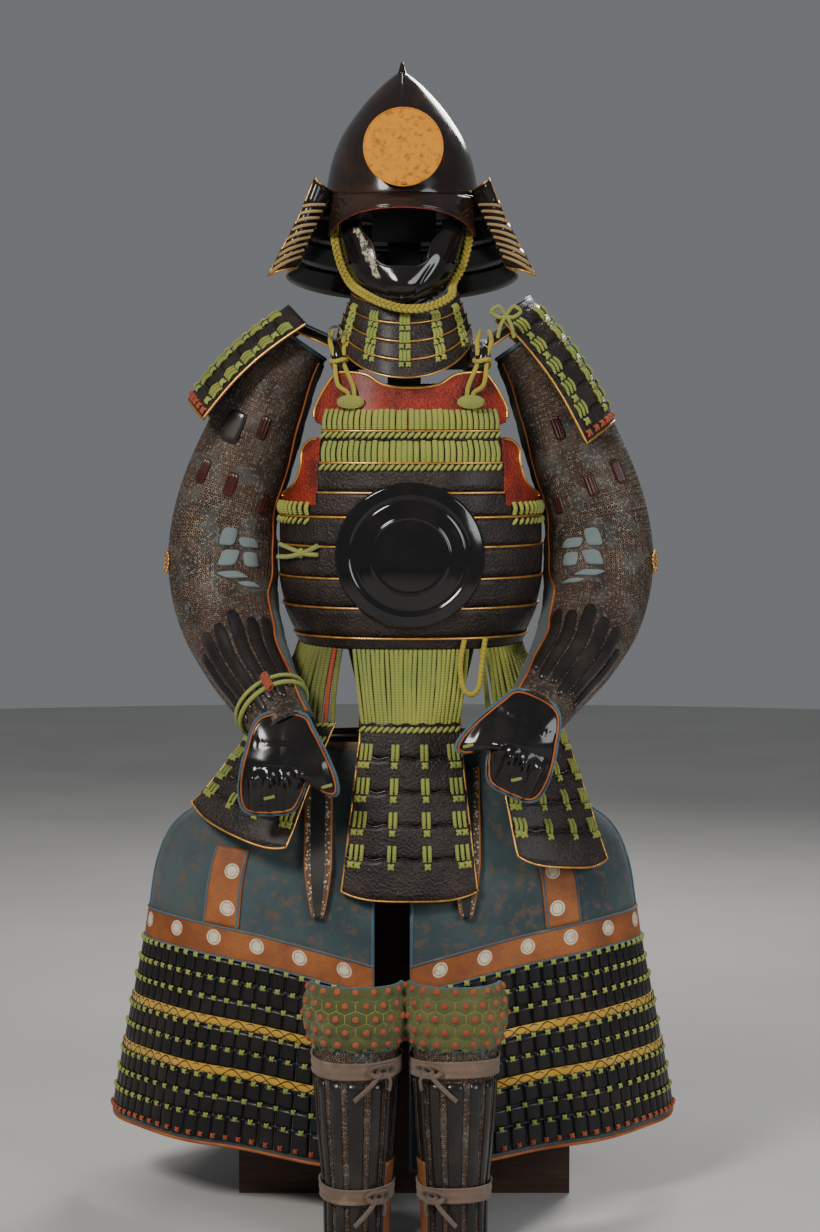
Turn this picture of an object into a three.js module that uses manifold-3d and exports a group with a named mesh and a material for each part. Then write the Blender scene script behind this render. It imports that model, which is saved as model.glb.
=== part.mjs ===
// Samurai armour standing on its wooden chest, with no wearer, as separate thin-walled pieces.
// Millimetres, +Z up. The front faces -Y, and +X is on the right as one looks at the front.
import * as THREE from 'three';
import { mergeVertices } from 'three/addons/utils/BufferGeometryUtils.js';
import Module from 'manifold-3d';

const wasm = await Module();
wasm.setup();

// Driving sizes
const GAP = 0.3;                 // clearance between neighbouring pieces
const LIE = 0.5;                 // clearance under a piece that lies on a curved panel
const CLOTH = 2;                 // cloth wall
const PLATE = 2;                 // lacquered iron or hide wall
const STEP = 2;                  // how far the top edge of a lame stands proud
const SHIFT = { x: 16, y: 41.626 }; // moves the middle of the outline to the origin

const CHEST = { wide: 460, deep: 380, high: 400, board: 14, lid: 26, y: 100 };
const POST = { side: 46, barHalf: 107, barTop: 1178, barHigh: 34, y: 6 };
const HEAD = { x: -3, stretch: 1.14, base: 1374, wall: 2.4 };
const TORSO_X = 9;
const THIGH_X = -16;
const SHIN = { x: 2, y: -300, apart: 64, top: 262 };

const FINISHES = {
  blackLacquer: { color: 0x0d0b0b, roughness: 0.18, metalness: 0 },
  brownLacquer: { color: 0x1c1210, roughness: 0.25, metalness: 0 },
  grainedHide: { color: 0x1f1715, roughness: 0.6, metalness: 0 },
  redHide: { color: 0x6a160f, roughness: 0.5, metalness: 0 },
  gilt: { color: 0xc8861a, roughness: 0.4, metalness: 1 },
  lacing: { color: 0x8d9a3a, roughness: 0.85, metalness: 0 },
  yellowBraid: { color: 0xa79a2c, roughness: 0.85, metalness: 0 },
  mailCloth: { color: 0x3a2b22, roughness: 0.7, metalness: 0 },
  blueCloth: { color: 0x2f4448, roughness: 0.95, metalness: 0 },
  orangeLeather: { color: 0x9a4a12, roughness: 0.6, metalness: 0 },
  greenQuilt: { color: 0x5d6228, roughness: 0.9, metalness: 0 },
  hemp: { color: 0x5a4436, roughness: 0.9, metalness: 0 },
  wood: { color: 0x2c1a10, roughness: 0.6, metalness: 0 },
};

// Heights of the torso, from the lower edge of the cuirass to the shoulders
const TORSO = [
  { z: 765, half: 153, front: 150, back: 92 },
  { z: 820, half: 174, front: 164, back: 104 },
  { z: 878, half: 181, front: 170, back: 112 },
  { z: 970, half: 177, front: 166, back: 114 },
  { z: 1051, half: 168, front: 151, back: 108 },
  { z: 1142, half: 150, front: 126, back: 96 },
];
const CUIRASS = { bottom: 765, armhole: 958, top: 1062, plateTop: 1142, bibLow: 126, bibHigh: 117 };
const FRONT_LAMES = [765, 781, 822, 862, 905, 945, 978, 1018, 1044, 1062];
const BACK_LAMES = [765, 822, 905, 978, 1050, 1125];

// Sections of the left sleeve from shoulder to wrist: middle, half width and half depth
const SLEEVE = [
  { along: 0, out: 149, y: 8, z: 1178, wide: 34, deep: 50 },
  { along: 1, out: 194, y: 8, z: 1112, wide: 55, deep: 57 },
  { along: 2, out: 227.4, y: 4, z: 1032, wide: 65, deep: 58 },
  { along: 3, out: 257, y: 0, z: 950, wide: 69, deep: 60 },
  { along: 4, out: 264, y: -8, z: 878, wide: 74, deep: 62 },
  { along: 5, out: 256, y: -36, z: 812, wide: 69, deep: 59 },
  { along: 6, out: 229, y: -92, z: 752, wide: 58, deep: 52 },
  { along: 7, out: 196, y: -152, z: 703, wide: 47, deep: 44 },
  { along: 8, out: 164, y: -206, z: 656, wide: 38, deep: 35 },
];
const SLEEVE_X = 9;
const HAND_LIFT = { left: 0, right: 26 };

// Tassets: top middle, bottom middle, half widths, heading from the front and lean of the lower edge
const TASSETS = {
  front: { x0: 8, y0: -160, z0: 664, x1: 7, y1: -204, z1: 430, w0: 66, w1: 92, heading: 0, lean: 0 },
  front_left: { x0: -152, y0: -108, z0: 664, x1: -232, y1: -176, z1: 517, w0: 62, w1: 80, heading: -34, lean: 17 },
  front_right: { x0: 168, y0: -110, z0: 672, x1: 222, y1: -182, z1: 473, w0: 58, w1: 74, heading: 32, lean: 6 },
  back_left: { x0: -160, y0: 50, z0: 664, x1: -214, y1: 78, z1: 470, w0: 60, w1: 74, heading: -118, lean: 0 },
  back_right: { x0: 176, y0: 50, z0: 664, x1: 230, y1: 78, z1: 470, w0: 60, w1: 74, heading: 118, lean: 0 },
  back: { x0: 8, y0: 108, z0: 664, x1: 8, y1: 152, z1: 440, w0: 70, w1: 90, heading: 180, lean: 0 },
};
// The stretch of the cuirass's lower edge, in degrees from the front, that each lacing skirt hangs from
const SKIRTS = {
  front: { from: -27, to: 27, cords: 16 },
  front_left: { from: -78, to: -33, cords: 9 },
  front_right: { from: 33, to: 78, cords: 9 },
  back_left: { from: -138, to: -86, cords: 9 },
  back_right: { from: 86, to: 138, cords: 9 },
  back: { from: 146, to: 214, cords: 12 },
};

// Thigh cloth by height: outer and inner reach from the middle, depths, and fall of the inner edge
const THIGH = [
  { z: 100, out: 394, inner: 24, side: -4, front: 218, fall: 35 },
  { z: 200, out: 375, inner: 24, side: -18, front: 210, fall: 44 },
  { z: 340, out: 346, inner: 25, side: -40, front: 199, fall: 55 },
  { z: 400, out: 336, inner: 25, side: -48, front: 192, fall: 60 },
  { z: 470, out: 323, inner: 25, side: -52, front: 180, fall: 45 },
  { z: 520, out: 296, inner: 24, side: -58, front: 164, fall: 28 },
  { z: 560, out: 236, inner: 20, side: -68, front: 142, fall: 12 },
  { z: 622, out: 146, inner: 14, side: -74, front: 112, fall: 0 },
];
const BELT = { low: 358, high: 400, strapTop: 500, strapFrom: 0.47, strapTo: 0.6 };

// Small helpers
const lerp = (a, b, f) => a + (b - a) * f;
function steps(count, from = 0, to = 1) {
  return Array.from({ length: count + 1 }, (_, i) => lerp(from, to, i / count));
}
const radians = (degrees) => degrees * Math.PI / 180;
const vec = (x, y, z) => new THREE.Vector3(x, y, z);

// A smooth row of a table at one value of its key column
function rowAt(table, key, value) {
  const last = table.length - 1;
  let i = 0;
  while (i < last - 1 && value > table[i + 1][key]) i += 1;
  const a = table[i];
  const b = table[i + 1];
  const before = table[Math.max(i - 1, 0)];
  const after = table[Math.min(i + 2, last)];
  const span = b[key] - a[key];
  const f = (value - a[key]) / span;
  const row = {};
  for (const column of Object.keys(a)) {
    const slopeA = (b[column] - before[column]) / (b[key] - before[key]) * span;
    const slopeB = (after[column] - a[column]) / (after[key] - a[key]) * span;
    row[column] = (2 * f ** 3 - 3 * f ** 2 + 1) * a[column] + (f ** 3 - 2 * f ** 2 + f) * slopeA
      + (3 * f ** 2 - 2 * f ** 3) * b[column] + (f ** 3 - f ** 2) * slopeB;
  }
  return row;
}

// A point of a rounded oval ring: angle 0 is the front, 90 degrees the right side
function ovalPoint(row, angle, z, middle) {
  const bend = (v) => Math.sign(v) * Math.abs(v) ** 0.84;
  const side = bend(Math.sin(angle));
  const ahead = bend(Math.cos(angle));
  return vec(middle + row.half * side, -(ahead > 0 ? row.front : row.back) * ahead, z);
}

const torsoPoint = (degrees, z) => ovalPoint(rowAt(TORSO, 'z', z), radians(degrees), z, TORSO_X);

// A manifold solid from triangles of a closed mesh, turned so that its faces point out
function solidOf(points, triangles) {
  let volume = 0;
  const cross = vec(0, 0, 0);
  for (const [a, b, c] of triangles) volume += points[a].dot(cross.crossVectors(points[b], points[c]));
  const faces = volume < 0 ? triangles.map(([a, b, c]) => [a, c, b]) : triangles;
  const vertProperties = new Float32Array(points.flatMap((p) => [p.x, p.y, p.z]));
  const triVerts = new Uint32Array(faces.flat());
  return new wasm.Manifold(new wasm.Mesh({ numProp: 3, vertProperties, triVerts }));
}

// A manifold solid from a closed three.js geometry
function solidFrom(geometry) {
  const bare = geometry.clone();
  bare.deleteAttribute('normal');
  bare.deleteAttribute('uv');
  const merged = mergeVertices(bare, 1e-3);
  const place = merged.attributes.position;
  const index = merged.index.array;
  const points = Array.from({ length: place.count }, (_, i) => vec(place.getX(i), place.getY(i), place.getZ(i)));
  const triangles = [];
  for (let i = 0; i < index.length; i += 3) {
    const [a, b, c] = [index[i], index[i + 1], index[i + 2]];
    if (a !== b && b !== c && c !== a) triangles.push([a, b, c]);
  }
  return solidOf(points, triangles);
}

// The largest body of a solid, so that slivers left by a cut are dropped
function largest(solid) {
  return solid.decompose().reduce((best, next) => (next.volume() > best.volume() ? next : best));
}

// A thin wall over the surface at(s, t). Its outer points are raised by relief(s, t), its inner face
// is plain, and around joins the last column to the first. inside is a point behind the surface. An
// upright wall gets its thickness level, so that its ends keep their heights.
// grow makes the same wall fatter all round, as a tool to clear a neighbour.
function wall(spec, grow = 0) {
  const { at, across, along, thick, lift = 0, relief = () => 0, around = false, upright = false, inside } = spec;
  const columns = across.length;
  const rows = along.length;
  const small = 1e-3;
  const normalAt = (s, t) => {
    const ds = at(s + small, t).sub(at(s - small, t));
    const dt = at(s, t + small).sub(at(s, t - small));
    const normal = ds.cross(dt);
    if (upright) normal.z = 0;
    return normal.normalize();
  };
  const middle = [across[columns >> 1], along[rows >> 1]];
  const behind = typeof inside === 'function' ? inside(...middle) : inside;
  const sense = normalAt(...middle).dot(at(...middle).sub(behind)) < 0 ? -1 : 1;
  const outer = [];
  const inner = [];
  along.forEach((t, row) => across.forEach((s) => {
    const point = at(s, t);
    if (grow && (row === 0 || row === rows - 1)) {
      const next = at(s, along[row === 0 ? 1 : rows - 2]);
      point.add(point.clone().sub(next).setLength(grow));
    }
    const normal = normalAt(s, t).multiplyScalar(sense);
    outer.push(point.clone().addScaledVector(normal, lift + thick + relief(s, t) + grow));
    inner.push(point.clone().addScaledVector(normal, lift - grow));
  }));
  const points = [...outer, ...inner];
  const offset = outer.length;
  const id = (column, row) => row * columns + (column % columns);
  const triangles = [];
  const quad = (a, b, c, d) => triangles.push([a, b, c], [a, c, d]);
  const spans = around ? columns : columns - 1;
  for (let row = 0; row < rows - 1; row += 1) {
    for (let i = 0; i < spans; i += 1) {
      quad(id(i, row), id(i + 1, row), id(i + 1, row + 1), id(i, row + 1));
      quad(offset + id(i, row), offset + id(i, row + 1), offset + id(i + 1, row + 1), offset + id(i + 1, row));
    }
  }
  for (let i = 0; i < spans; i += 1) {
    quad(id(i + 1, 0), id(i, 0), offset + id(i, 0), offset + id(i + 1, 0));
    quad(id(i, rows - 1), id(i + 1, rows - 1), offset + id(i + 1, rows - 1), offset + id(i, rows - 1));
  }
  if (!around) {
    for (let row = 0; row < rows - 1; row += 1) {
      quad(id(0, row), id(0, row + 1), offset + id(0, row + 1), offset + id(0, row));
      quad(id(columns - 1, row + 1), id(columns - 1, row), offset + id(columns - 1, row),
        offset + id(columns - 1, row + 1));
    }
  }
  return solidOf(points, triangles);
}

// The flat-faceted surface through the grid of a wall, for a piece that lies on that wall
function faceted({ at, across, along }) {
  const corner = (column, row) => at(across[column], along[row]);
  const cell = (list, value) => {
    let i = 0;
    while (i < list.length - 2 && value > list[i + 1]) i += 1;
    return [i, (value - list[i]) / (list[i + 1] - list[i])];
  };
  return (s, t) => {
    const [column, f] = cell(across, s);
    const [row, g] = cell(along, t);
    const low = corner(column, row).lerp(corner(column + 1, row), f);
    const high = corner(column, row + 1).lerp(corner(column + 1, row + 1), f);
    return low.lerp(high, g);
  };
}

// A domed plate: a closed outline function of 0 to 1, bulging along out by rise
function dome({ outline, rings, spokes, rise, thick, out, centre }) {
  const edge = steps(spokes).slice(0, -1).map(outline);
  const middle = centre ?? edge.reduce((sum, p) => sum.add(p), vec(0, 0, 0)).divideScalar(edge.length);
  const points = [];
  for (const depth of [thick, 0]) {
    points.push(middle.clone().addScaledVector(out, rise + depth));
    for (let ring = 1; ring <= rings; ring += 1) {
      const f = ring / rings;
      const height = rise * (1 - f * f) + depth;
      edge.forEach((p) => points.push(middle.clone().lerp(p, f).addScaledVector(out, height)));
    }
  }
  const half = 1 + rings * spokes;
  const id = (ring, spoke, side) => side * half + 1 + (ring - 1) * spokes + (spoke % spokes);
  const triangles = [];
  for (let i = 0; i < spokes; i += 1) {
    triangles.push([0, id(1, i, 0), id(1, i + 1, 0)], [half, id(1, i + 1, 1), id(1, i, 1)]);
    for (let ring = 1; ring < rings; ring += 1) {
      triangles.push([id(ring, i, 0), id(ring + 1, i, 0), id(ring + 1, i + 1, 0)]);
      triangles.push([id(ring, i, 0), id(ring + 1, i + 1, 0), id(ring, i + 1, 0)]);
      triangles.push([id(ring, i, 1), id(ring + 1, i + 1, 1), id(ring + 1, i, 1)]);
      triangles.push([id(ring, i, 1), id(ring, i + 1, 1), id(ring + 1, i + 1, 1)]);
    }
    triangles.push([id(rings, i, 0), id(rings, i, 1), id(rings, i + 1, 1)]);
    triangles.push([id(rings, i, 0), id(rings, i + 1, 1), id(rings, i + 1, 0)]);
  }
  return solidOf(points, triangles);
}

const box = (x0, x1, y0, y1, z0, z1) => {
  const geometry = new THREE.BoxGeometry(x1 - x0, y1 - y0, z1 - z0);
  geometry.translate((x0 + x1) / 2, (y0 + y1) / 2, (z0 + z1) / 2);
  return solidFrom(geometry);
};

// A block with the given front-view outline of [x, z] pairs, from y0 to y1
function frontBlock(outline, y0, y1) {
  const shape = new THREE.Shape(outline.map(([x, z]) => new THREE.Vector2(x, z)));
  const geometry = new THREE.ExtrudeGeometry(shape, { depth: y1 - y0, bevelEnabled: false });
  geometry.rotateX(Math.PI / 2);
  geometry.translate(0, y1, 0);
  return solidFrom(geometry);
}

// A round cord along a smooth line through points
function cord(points, radius, count, sides = 8, closed = false) {
  const path = new THREE.CatmullRomCurve3(points, closed, 'centripetal');
  const round = steps(sides).slice(0, -1).map((f) => new THREE.Vector2(
    radius * Math.cos(f * 2 * Math.PI), radius * Math.sin(f * 2 * Math.PI)));
  const geometry = new THREE.ExtrudeGeometry(new THREE.Shape(round), { steps: count, extrudePath: path });
  return solidFrom(geometry);
}

// Stepped lames: the top edge of each lame stands proud, and the next one below covers its foot
const LIP = 0.6;
function lameRows(levels) {
  const rows = [];
  levels.forEach((level, i) => {
    const ends = i === 0 || i === levels.length - 1;
    if (i > 0) rows.push({ level: level - (ends ? 0 : LIP), rise: STEP });
    if (i < levels.length - 1) rows.push({ level: level + (ends ? 0 : LIP), rise: 0 });
  });
  return rows;
}
const riseAt = (rows, level) => rows.reduce((best, row) => (
  Math.abs(row.level - level) < Math.abs(best.level - level) ? row : best)).rise;

const group = new THREE.Group();
group.position.set(SHIFT.x, SHIFT.y, 0);

function place(name, finish, solid) {
  const mesh = solid.getMesh();
  const geometry = new THREE.BufferGeometry();
  geometry.setAttribute('position', new THREE.BufferAttribute(new Float32Array(mesh.vertProperties), 3));
  geometry.setIndex(new THREE.BufferAttribute(new Uint32Array(mesh.triVerts), 1));
  geometry.computeVertexNormals();
  const piece = new THREE.Mesh(geometry, new THREE.MeshStandardMaterial(FINISHES[finish]));
  piece.name = name;
  group.add(piece);
}

// Chest and post
function chestBody() {
  const { wide, deep, high, board, y } = CHEST;
  const shell = box(-wide / 2, wide / 2, y - deep / 2, y + deep / 2, 0, high);
  return shell.subtract(box(-wide / 2 + board, wide / 2 - board, y - deep / 2 + board, y + deep / 2 - board,
    board, high + 1));
}

const LID_TOP = CHEST.high + GAP + CHEST.lid;
const LID_BRIM = 6;

// Helmet bowl: half width by height, inside and outside
const BOWL = [
  { z: HEAD.base, r: 106 },
  { z: 1384, r: 106 },
  { z: 1429, r: 98 },
  { z: 1466, r: 83 },
  { z: 1504, r: 57 },
  { z: 1536, r: 27 },
  { z: 1552, r: 7 },
];
const SPIKE_TOP = 1568;
const POST_HEAD = 1521.6;

// The chest's lid carries a post with a shoulder bar, a waist bar and a block for the head
function stand() {
  const { wide, deep, high, y } = CHEST;
  const half = POST.side / 2;
  const lid = box(-wide / 2 - LID_BRIM, wide / 2 + LID_BRIM, y - deep / 2 - LID_BRIM, y + deep / 2 + LID_BRIM,
    high + GAP, LID_TOP);
  const foot = box(-110, 110, POST.y - 70, POST.y + 110, LID_TOP - 4, LID_TOP + 20);
  const post = box(-half, half, POST.y - half, POST.y + half, LID_TOP + 10, POST_HEAD);
  const bar = box(-POST.barHalf + TORSO_X, POST.barHalf + TORSO_X, POST.y - 22, POST.y + 22,
    POST.barTop - POST.barHigh, POST.barTop);
  const waist = largest(box(-190, 160, POST.y - 12, POST.y + 12, 604, 630).subtract(wall(waistband(), GAP)));
  const block = box(-44, 44, POST.y - 48, POST.y + 48, 1318, 1418);
  return wasm.Manifold.union([lid, foot, post, bar, waist, block]);
}

function bowlRadius(z, wallIn) {
  return Math.max(rowAt(BOWL, 'z', Math.min(z, 1552)).r - wallIn, 0);
}

function bowlLathe(grow) {
  const heights = [HEAD.base, 1388, 1412, 1436, 1460, 1484, 1508, 1530, 1545, 1552];
  const inside = heights.filter((z, i) => i % 2 === 0);
  const inner = inside.map((z) => new THREE.Vector2(Math.max(bowlRadius(z, HEAD.wall), 0.01), z));
  const outer = heights.map((z) => new THREE.Vector2(bowlRadius(z, 0) + grow, z)).reverse();
  inner[0].y -= grow;
  outer[outer.length - 1].y -= grow;
  const profile = [new THREE.Vector2(0, SPIKE_TOP), new THREE.Vector2(3.5, SPIKE_TOP - 2),
    new THREE.Vector2(4, 1556), ...outer, ...inner, new THREE.Vector2(0, 1544)];
  const lathe = new THREE.LatheGeometry(profile, 22);
  lathe.rotateX(Math.PI / 2);
  lathe.scale(1, HEAD.stretch, 1);
  lathe.translate(HEAD.x, 0, 0);
  return solidFrom(lathe);
}

const helmetBowl = () => bowlLathe(0).add(visor()).add(ridge());

// The visor drops from the bowl's front edge and reaches lowest at its ends
function visor() {
  const reach = 61;
  const at = (s, t) => {
    const angle = radians(lerp(-reach, reach, s));
    const ends = Math.abs(2 * s - 1) ** 2.2;
    const out = lerp(0, lerp(20, 7, ends), t) - 1.2;
    const z = lerp(1380, lerp(1361, 1326, ends), t);
    const r = bowlRadius(Math.max(z, HEAD.base), 0) + out;
    return vec(HEAD.x + r * Math.sin(angle), -HEAD.stretch * r * Math.cos(angle), z);
  };
  return wall({ at, across: steps(16), along: [0, 1], thick: PLATE, inside: vec(HEAD.x, 0, 1400) });
}

function ridge() {
  const heights = [1500, 1512, 1524, 1536, 1546, 1551];
  const front = heights.map((z) => [-HEAD.stretch * bowlRadius(z, -3), z]);
  const backing = heights.map((z) => [-HEAD.stretch * bowlRadius(z, 1.4), z]).reverse();
  const shape = new THREE.Shape([...front, ...backing].map(([y, z]) => new THREE.Vector2(y, z)));
  const geometry = new THREE.ExtrudeGeometry(shape, { depth: 4, bevelEnabled: false });
  geometry.applyMatrix4(new THREE.Matrix4().makeBasis(vec(0, 1, 0), vec(0, 0, 1), vec(1, 0, 0)));
  geometry.translate(HEAD.x - 2, 0, 0);
  return solidFrom(geometry);
}

// The gilt disc stands on the slope of the bowl, seated on a short peg behind it
const DISC = { radius: 54, thick: 2.5, y: -121, z: 1441, lean: -8, peg: 9 };
function helmetDisc() {
  const disc = new THREE.CylinderGeometry(DISC.radius, DISC.radius, DISC.thick, 26);
  const peg = new THREE.CylinderGeometry(DISC.peg, DISC.peg, 24, 8);
  peg.translate(0, 12, 0);
  const tilt = new THREE.Matrix4().makeRotationX(radians(DISC.lean));
  const whole = solidFrom(disc.applyMatrix4(tilt)).add(solidFrom(peg.applyMatrix4(tilt)));
  return largest(whole.translate([HEAD.x + 2, DISC.y, DISC.z]).subtract(bowlLathe(GAP)));
}

// Neck guard: flared lames round the back, from one temple to the other
const NECK = { front: 64 };
function neckPoint(degrees, t) {
  const angle = radians(degrees);
  const back = (1 - Math.cos(angle)) / 2;
  const half = lerp(106.6, 160, t);
  const deep = lerp(121.5, 168, t);
  const z = lerp(1386, lerp(1286, 1244, back ** 1.5), t);
  return vec(HEAD.x + half * Math.sin(angle), -deep * Math.cos(angle), z);
}
function neckGuard() {
  const at = (s, t) => neckPoint(lerp(NECK.front, 360 - NECK.front, s), t);
  const rows = lameRows([0, 25, 50, 75, 100]);
  const guard = wall({
    at, across: steps(14), along: rows.map((row) => row.level / 100), thick: PLATE,
    relief: (s, t) => STEP - riseAt(rows, t * 100), inside: vec(HEAD.x, 0, 1300),
  });
  return largest(guard.subtract(bowlLathe(GAP)));
}

// The turned-back front ends of the neck guard: a curled ear above, pointed lame ends below
function neckFlap(side) {
  const at = (s, t) => {
    const start = neckPoint(side * (NECK.front - 0.4), t * 0.98);
    const tip = Math.max(0, t - 0.45);
    const turn = s * lerp(1, 1.25, t);
    const out = 32 * turn * (1 - 0.3 * turn) + 26 * tip * s;
    const ahead = 20 * Math.sin(turn * 2.3);
    const rise = 16 * s * (1 - t) - 22 * tip * s;
    return start.add(vec(side * out, -ahead, rise));
  };
  const rows = lameRows([0, 25, 50, 75, 100]);
  const flap = wall({
    at, across: steps(4), along: rows.map((row) => row.level / 100), thick: PLATE,
    relief: (s, t) => STEP - riseAt(rows, t * 100), inside: vec(HEAD.x + side * 60, 60, 1310),
  });
  return largest(flap.subtract(bowlLathe(GAP)));
}

// Face guard: cheeks and chin, open over the nose and mouth
const MASK = [
  { z: 1230, half: 30, front: 116 },
  { z: 1242, half: 52, front: 126 },
  { z: 1262, half: 66, front: 130 },
  { z: 1292, half: 78, front: 124 },
  { z: 1322, half: 84, front: 114 },
  { z: 1346, half: 85, front: 106 },
];
function maskPoint(degrees, z, lift = 0) {
  const row = rowAt(MASK, 'z', z);
  const angle = radians(degrees);
  const cheek = 5 * Math.exp(-(((Math.abs(degrees) - 39) / 15) ** 2) - ((z - 1294) / 29) ** 2);
  const ahead = row.front - 52 + cheek + lift;
  return vec(HEAD.x + (row.half + cheek + lift) * Math.sin(angle), -52 - ahead * Math.cos(angle), z);
}
function maskSpec() {
  const at = (s, t) => maskPoint(lerp(-82, 82, s), lerp(1230, 1346, t));
  return { at, across: steps(14), along: steps(7), thick: PLATE, inside: vec(HEAD.x, 0, 1290) };
}
function faceGuard() {
  const shell = wall(maskSpec());
  const mouth = [[-58, 1360], [-56, 1334], [-40, 1312], [-33, 1288], [-20, 1281], [20, 1281], [33, 1288],
    [40, 1312], [56, 1334], [58, 1360]];
  const cut = frontBlock(mouth.map(([x, z]) => [x + HEAD.x, z]), -200, -60);
  return largest(shell.subtract(cut));
}

// Throat guard: four lames that hang in a U below the chin
function throatGuard() {
  const at = (s, t) => {
    const angle = radians(lerp(-84, 84, s));
    const lift = 1 - Math.cos(angle);
    const half = lerp(70, 92, t);
    const front = lerp(70, 110, t);
    const z = lerp(1228 + 22 * lift, 1130 + 66 * lift, t);
    return vec(1 + half * Math.sin(angle), -48 - front * Math.cos(angle), z);
  };
  const rows = lameRows([0, 25, 50, 75, 100]);
  return wall({
    at, across: steps(11), along: rows.map((row) => row.level / 100), thick: PLATE,
    relief: (s, t) => STEP - riseAt(rows, t * 100), inside: vec(1, 0, 1180),
  });
}

// Cuirass
const torsoInside = vec(TORSO_X, 0, 950);
function torsoSpec(from, to, levels, columns) {
  const rows = lameRows(levels);
  const low = levels[0];
  const high = levels[levels.length - 1];
  return {
    at: (s, t) => torsoPoint(lerp(from, to, s), lerp(low, high, t)),
    across: steps(columns), along: rows.map((row) => (row.level - low) / (high - low)), thick: PLATE,
    relief: (s, t) => riseAt(rows, lerp(low, high, t)), inside: torsoInside, upright: true,
  };
}

const mirrored = (outline, side) => outline.map(([x, z]) => [TORSO_X + side * x, z]);

const bibEdge = (z) => lerp(CUIRASS.bibLow, CUIRASS.bibHigh, (z - CUIRASS.armhole) / 142);
const FRONT_COLUMNS = 14;
const FRONT_PITCH = 2 * 89.95 / FRONT_COLUMNS;
const BACK_COLUMNS = 11;
function cuirassFront() {
  let front = wall(torsoSpec(-89.95, 89.95, FRONT_LAMES, FRONT_COLUMNS));
  for (const side of [-1, 1]) {
    const armhole = [[bibEdge(CUIRASS.armhole), CUIRASS.armhole], [400, CUIRASS.armhole], [400, 1100],
      [bibEdge(1100), 1100]];
    front = front.subtract(frontBlock(mirrored(armhole, side), -260, 20));
  }
  return largest(front);
}

function cuirassBack() {
  let back = wall(torsoSpec(90.05, 269.95, BACK_LAMES, BACK_COLUMNS));
  for (const side of [-1, 1]) {
    const armhole = [[140, 965], [400, 965], [400, 1150], [118, 1150], [122, 1040]];
    back = back.subtract(frontBlock(mirrored(armhole, side), -20, 260));
  }
  return largest(back);
}

function chestPlate() {
  const plain = {
    at: (s, t) => torsoPoint(lerp(-62, 62, s), lerp(CUIRASS.top + GAP, CUIRASS.plateTop, t)),
    across: steps(10), along: steps(3), thick: 4, inside: torsoInside, upright: true,
  };
  const half = [[0, 1055], [115, 1055], [115, 1066], [127, 1071], [128, 1087], [117, 1112], [103, 1133],
    [94, 1139], [60, 1136], [36, 1122], [0, 1118]];
  const outline = [...mirrored(half, 1), ...mirrored(half.slice(1, -1), -1).reverse()];
  return largest(wall(plain).intersect(frontBlock(outline, -260, -20)));
}

function sidePlate(side) {
  const low = CUIRASS.armhole + GAP;
  const plain = {
    at: (s, t) => torsoPoint(side * lerp(36, 92, s), lerp(low, 1052, t)),
    across: steps(5), along: steps(3), thick: 3, inside: torsoInside, upright: true,
  };
  const outline = [[bibEdge(low - 1) + GAP, low - 1], [250, low - 1], [200, 966], [176, 972], [156, 988], [146, 1012],
    [145, 1036], [136, 1046], [bibEdge(1050) + GAP, 1050]];
  const cut = wall(plain).intersect(frontBlock(mirrored(outline, side), -260, -6));
  return largest(cut);
}

// Shoulder strap from the back, over the crossbar, to the breast plate, with a toggle on its front
const STRAP = { out: 92, wide: 15, thick: 6 };
function shoulderStrap(side) {
  const line = [
    { along: 0, y: 97, z: 1096 },
    { along: 1, y: 92, z: 1126 },
    { along: 2, y: 66, z: 1168 },
    { along: 3, y: 34, z: POST.barTop + GAP },
    { along: 4, y: -22, z: POST.barTop + GAP },
    { along: 5, y: -66, z: 1163 },
    { along: 6, y: -100, z: 1143 },
  ];
  const at = (s, t) => {
    const row = rowAt(line, 'along', t * 6);
    const x = TORSO_X + side * lerp(STRAP.out - STRAP.wide, STRAP.out + STRAP.wide, s);
    return vec(x, row.y, row.z);
  };
  const inside = vec(TORSO_X + side * STRAP.out, 0, 1000);
  const strap = wall({ at, across: steps(2), along: steps(9), thick: STRAP.thick, inside });
  const toggle = new THREE.SphereGeometry(1, 8, 5);
  toggle.scale(9, 9, 20);
  toggle.rotateY(radians(side * 16));
  toggle.translate(TORSO_X + side * 97, -103, 1155);
  const band = torsoTool();
  return largest(strap.add(solidFrom(toggle)).subtract(band));
}

// The breast plate and the back made fatter, to clear what meets them
function torsoTool() {
  const top = wall({
    at: (s, t) => torsoPoint(lerp(-62, 62, s), lerp(1060, 1146, t)),
    across: steps(10), along: steps(3), thick: 4, inside: torsoInside, upright: true,
  }, GAP);
  const back = wall(torsoSpec(90.05, 269.95, BACK_LAMES, BACK_COLUMNS), GAP);
  return top.add(back);
}

// The round plate lies on the belly lames
const ROUNDEL = { x: TORSO_X - 1, z: 893, radius: 98 };
function chestRoundel() {
  const round = new THREE.CylinderGeometry(ROUNDEL.radius, ROUNDEL.radius, 80, 32);
  round.translate(ROUNDEL.x, -160, ROUNDEL.z);
  const skin = wall({
    at: torsoPoint, across: steps(8, -4 * FRONT_PITCH, 4 * FRONT_PITCH),
    along: [781, 822, 862, 905, 945, 978, 1018], thick: 3, lift: PLATE + STEP + LIE,
    inside: torsoInside, upright: true,
  });
  return largest(skin.intersect(solidFrom(round)));
}

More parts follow.
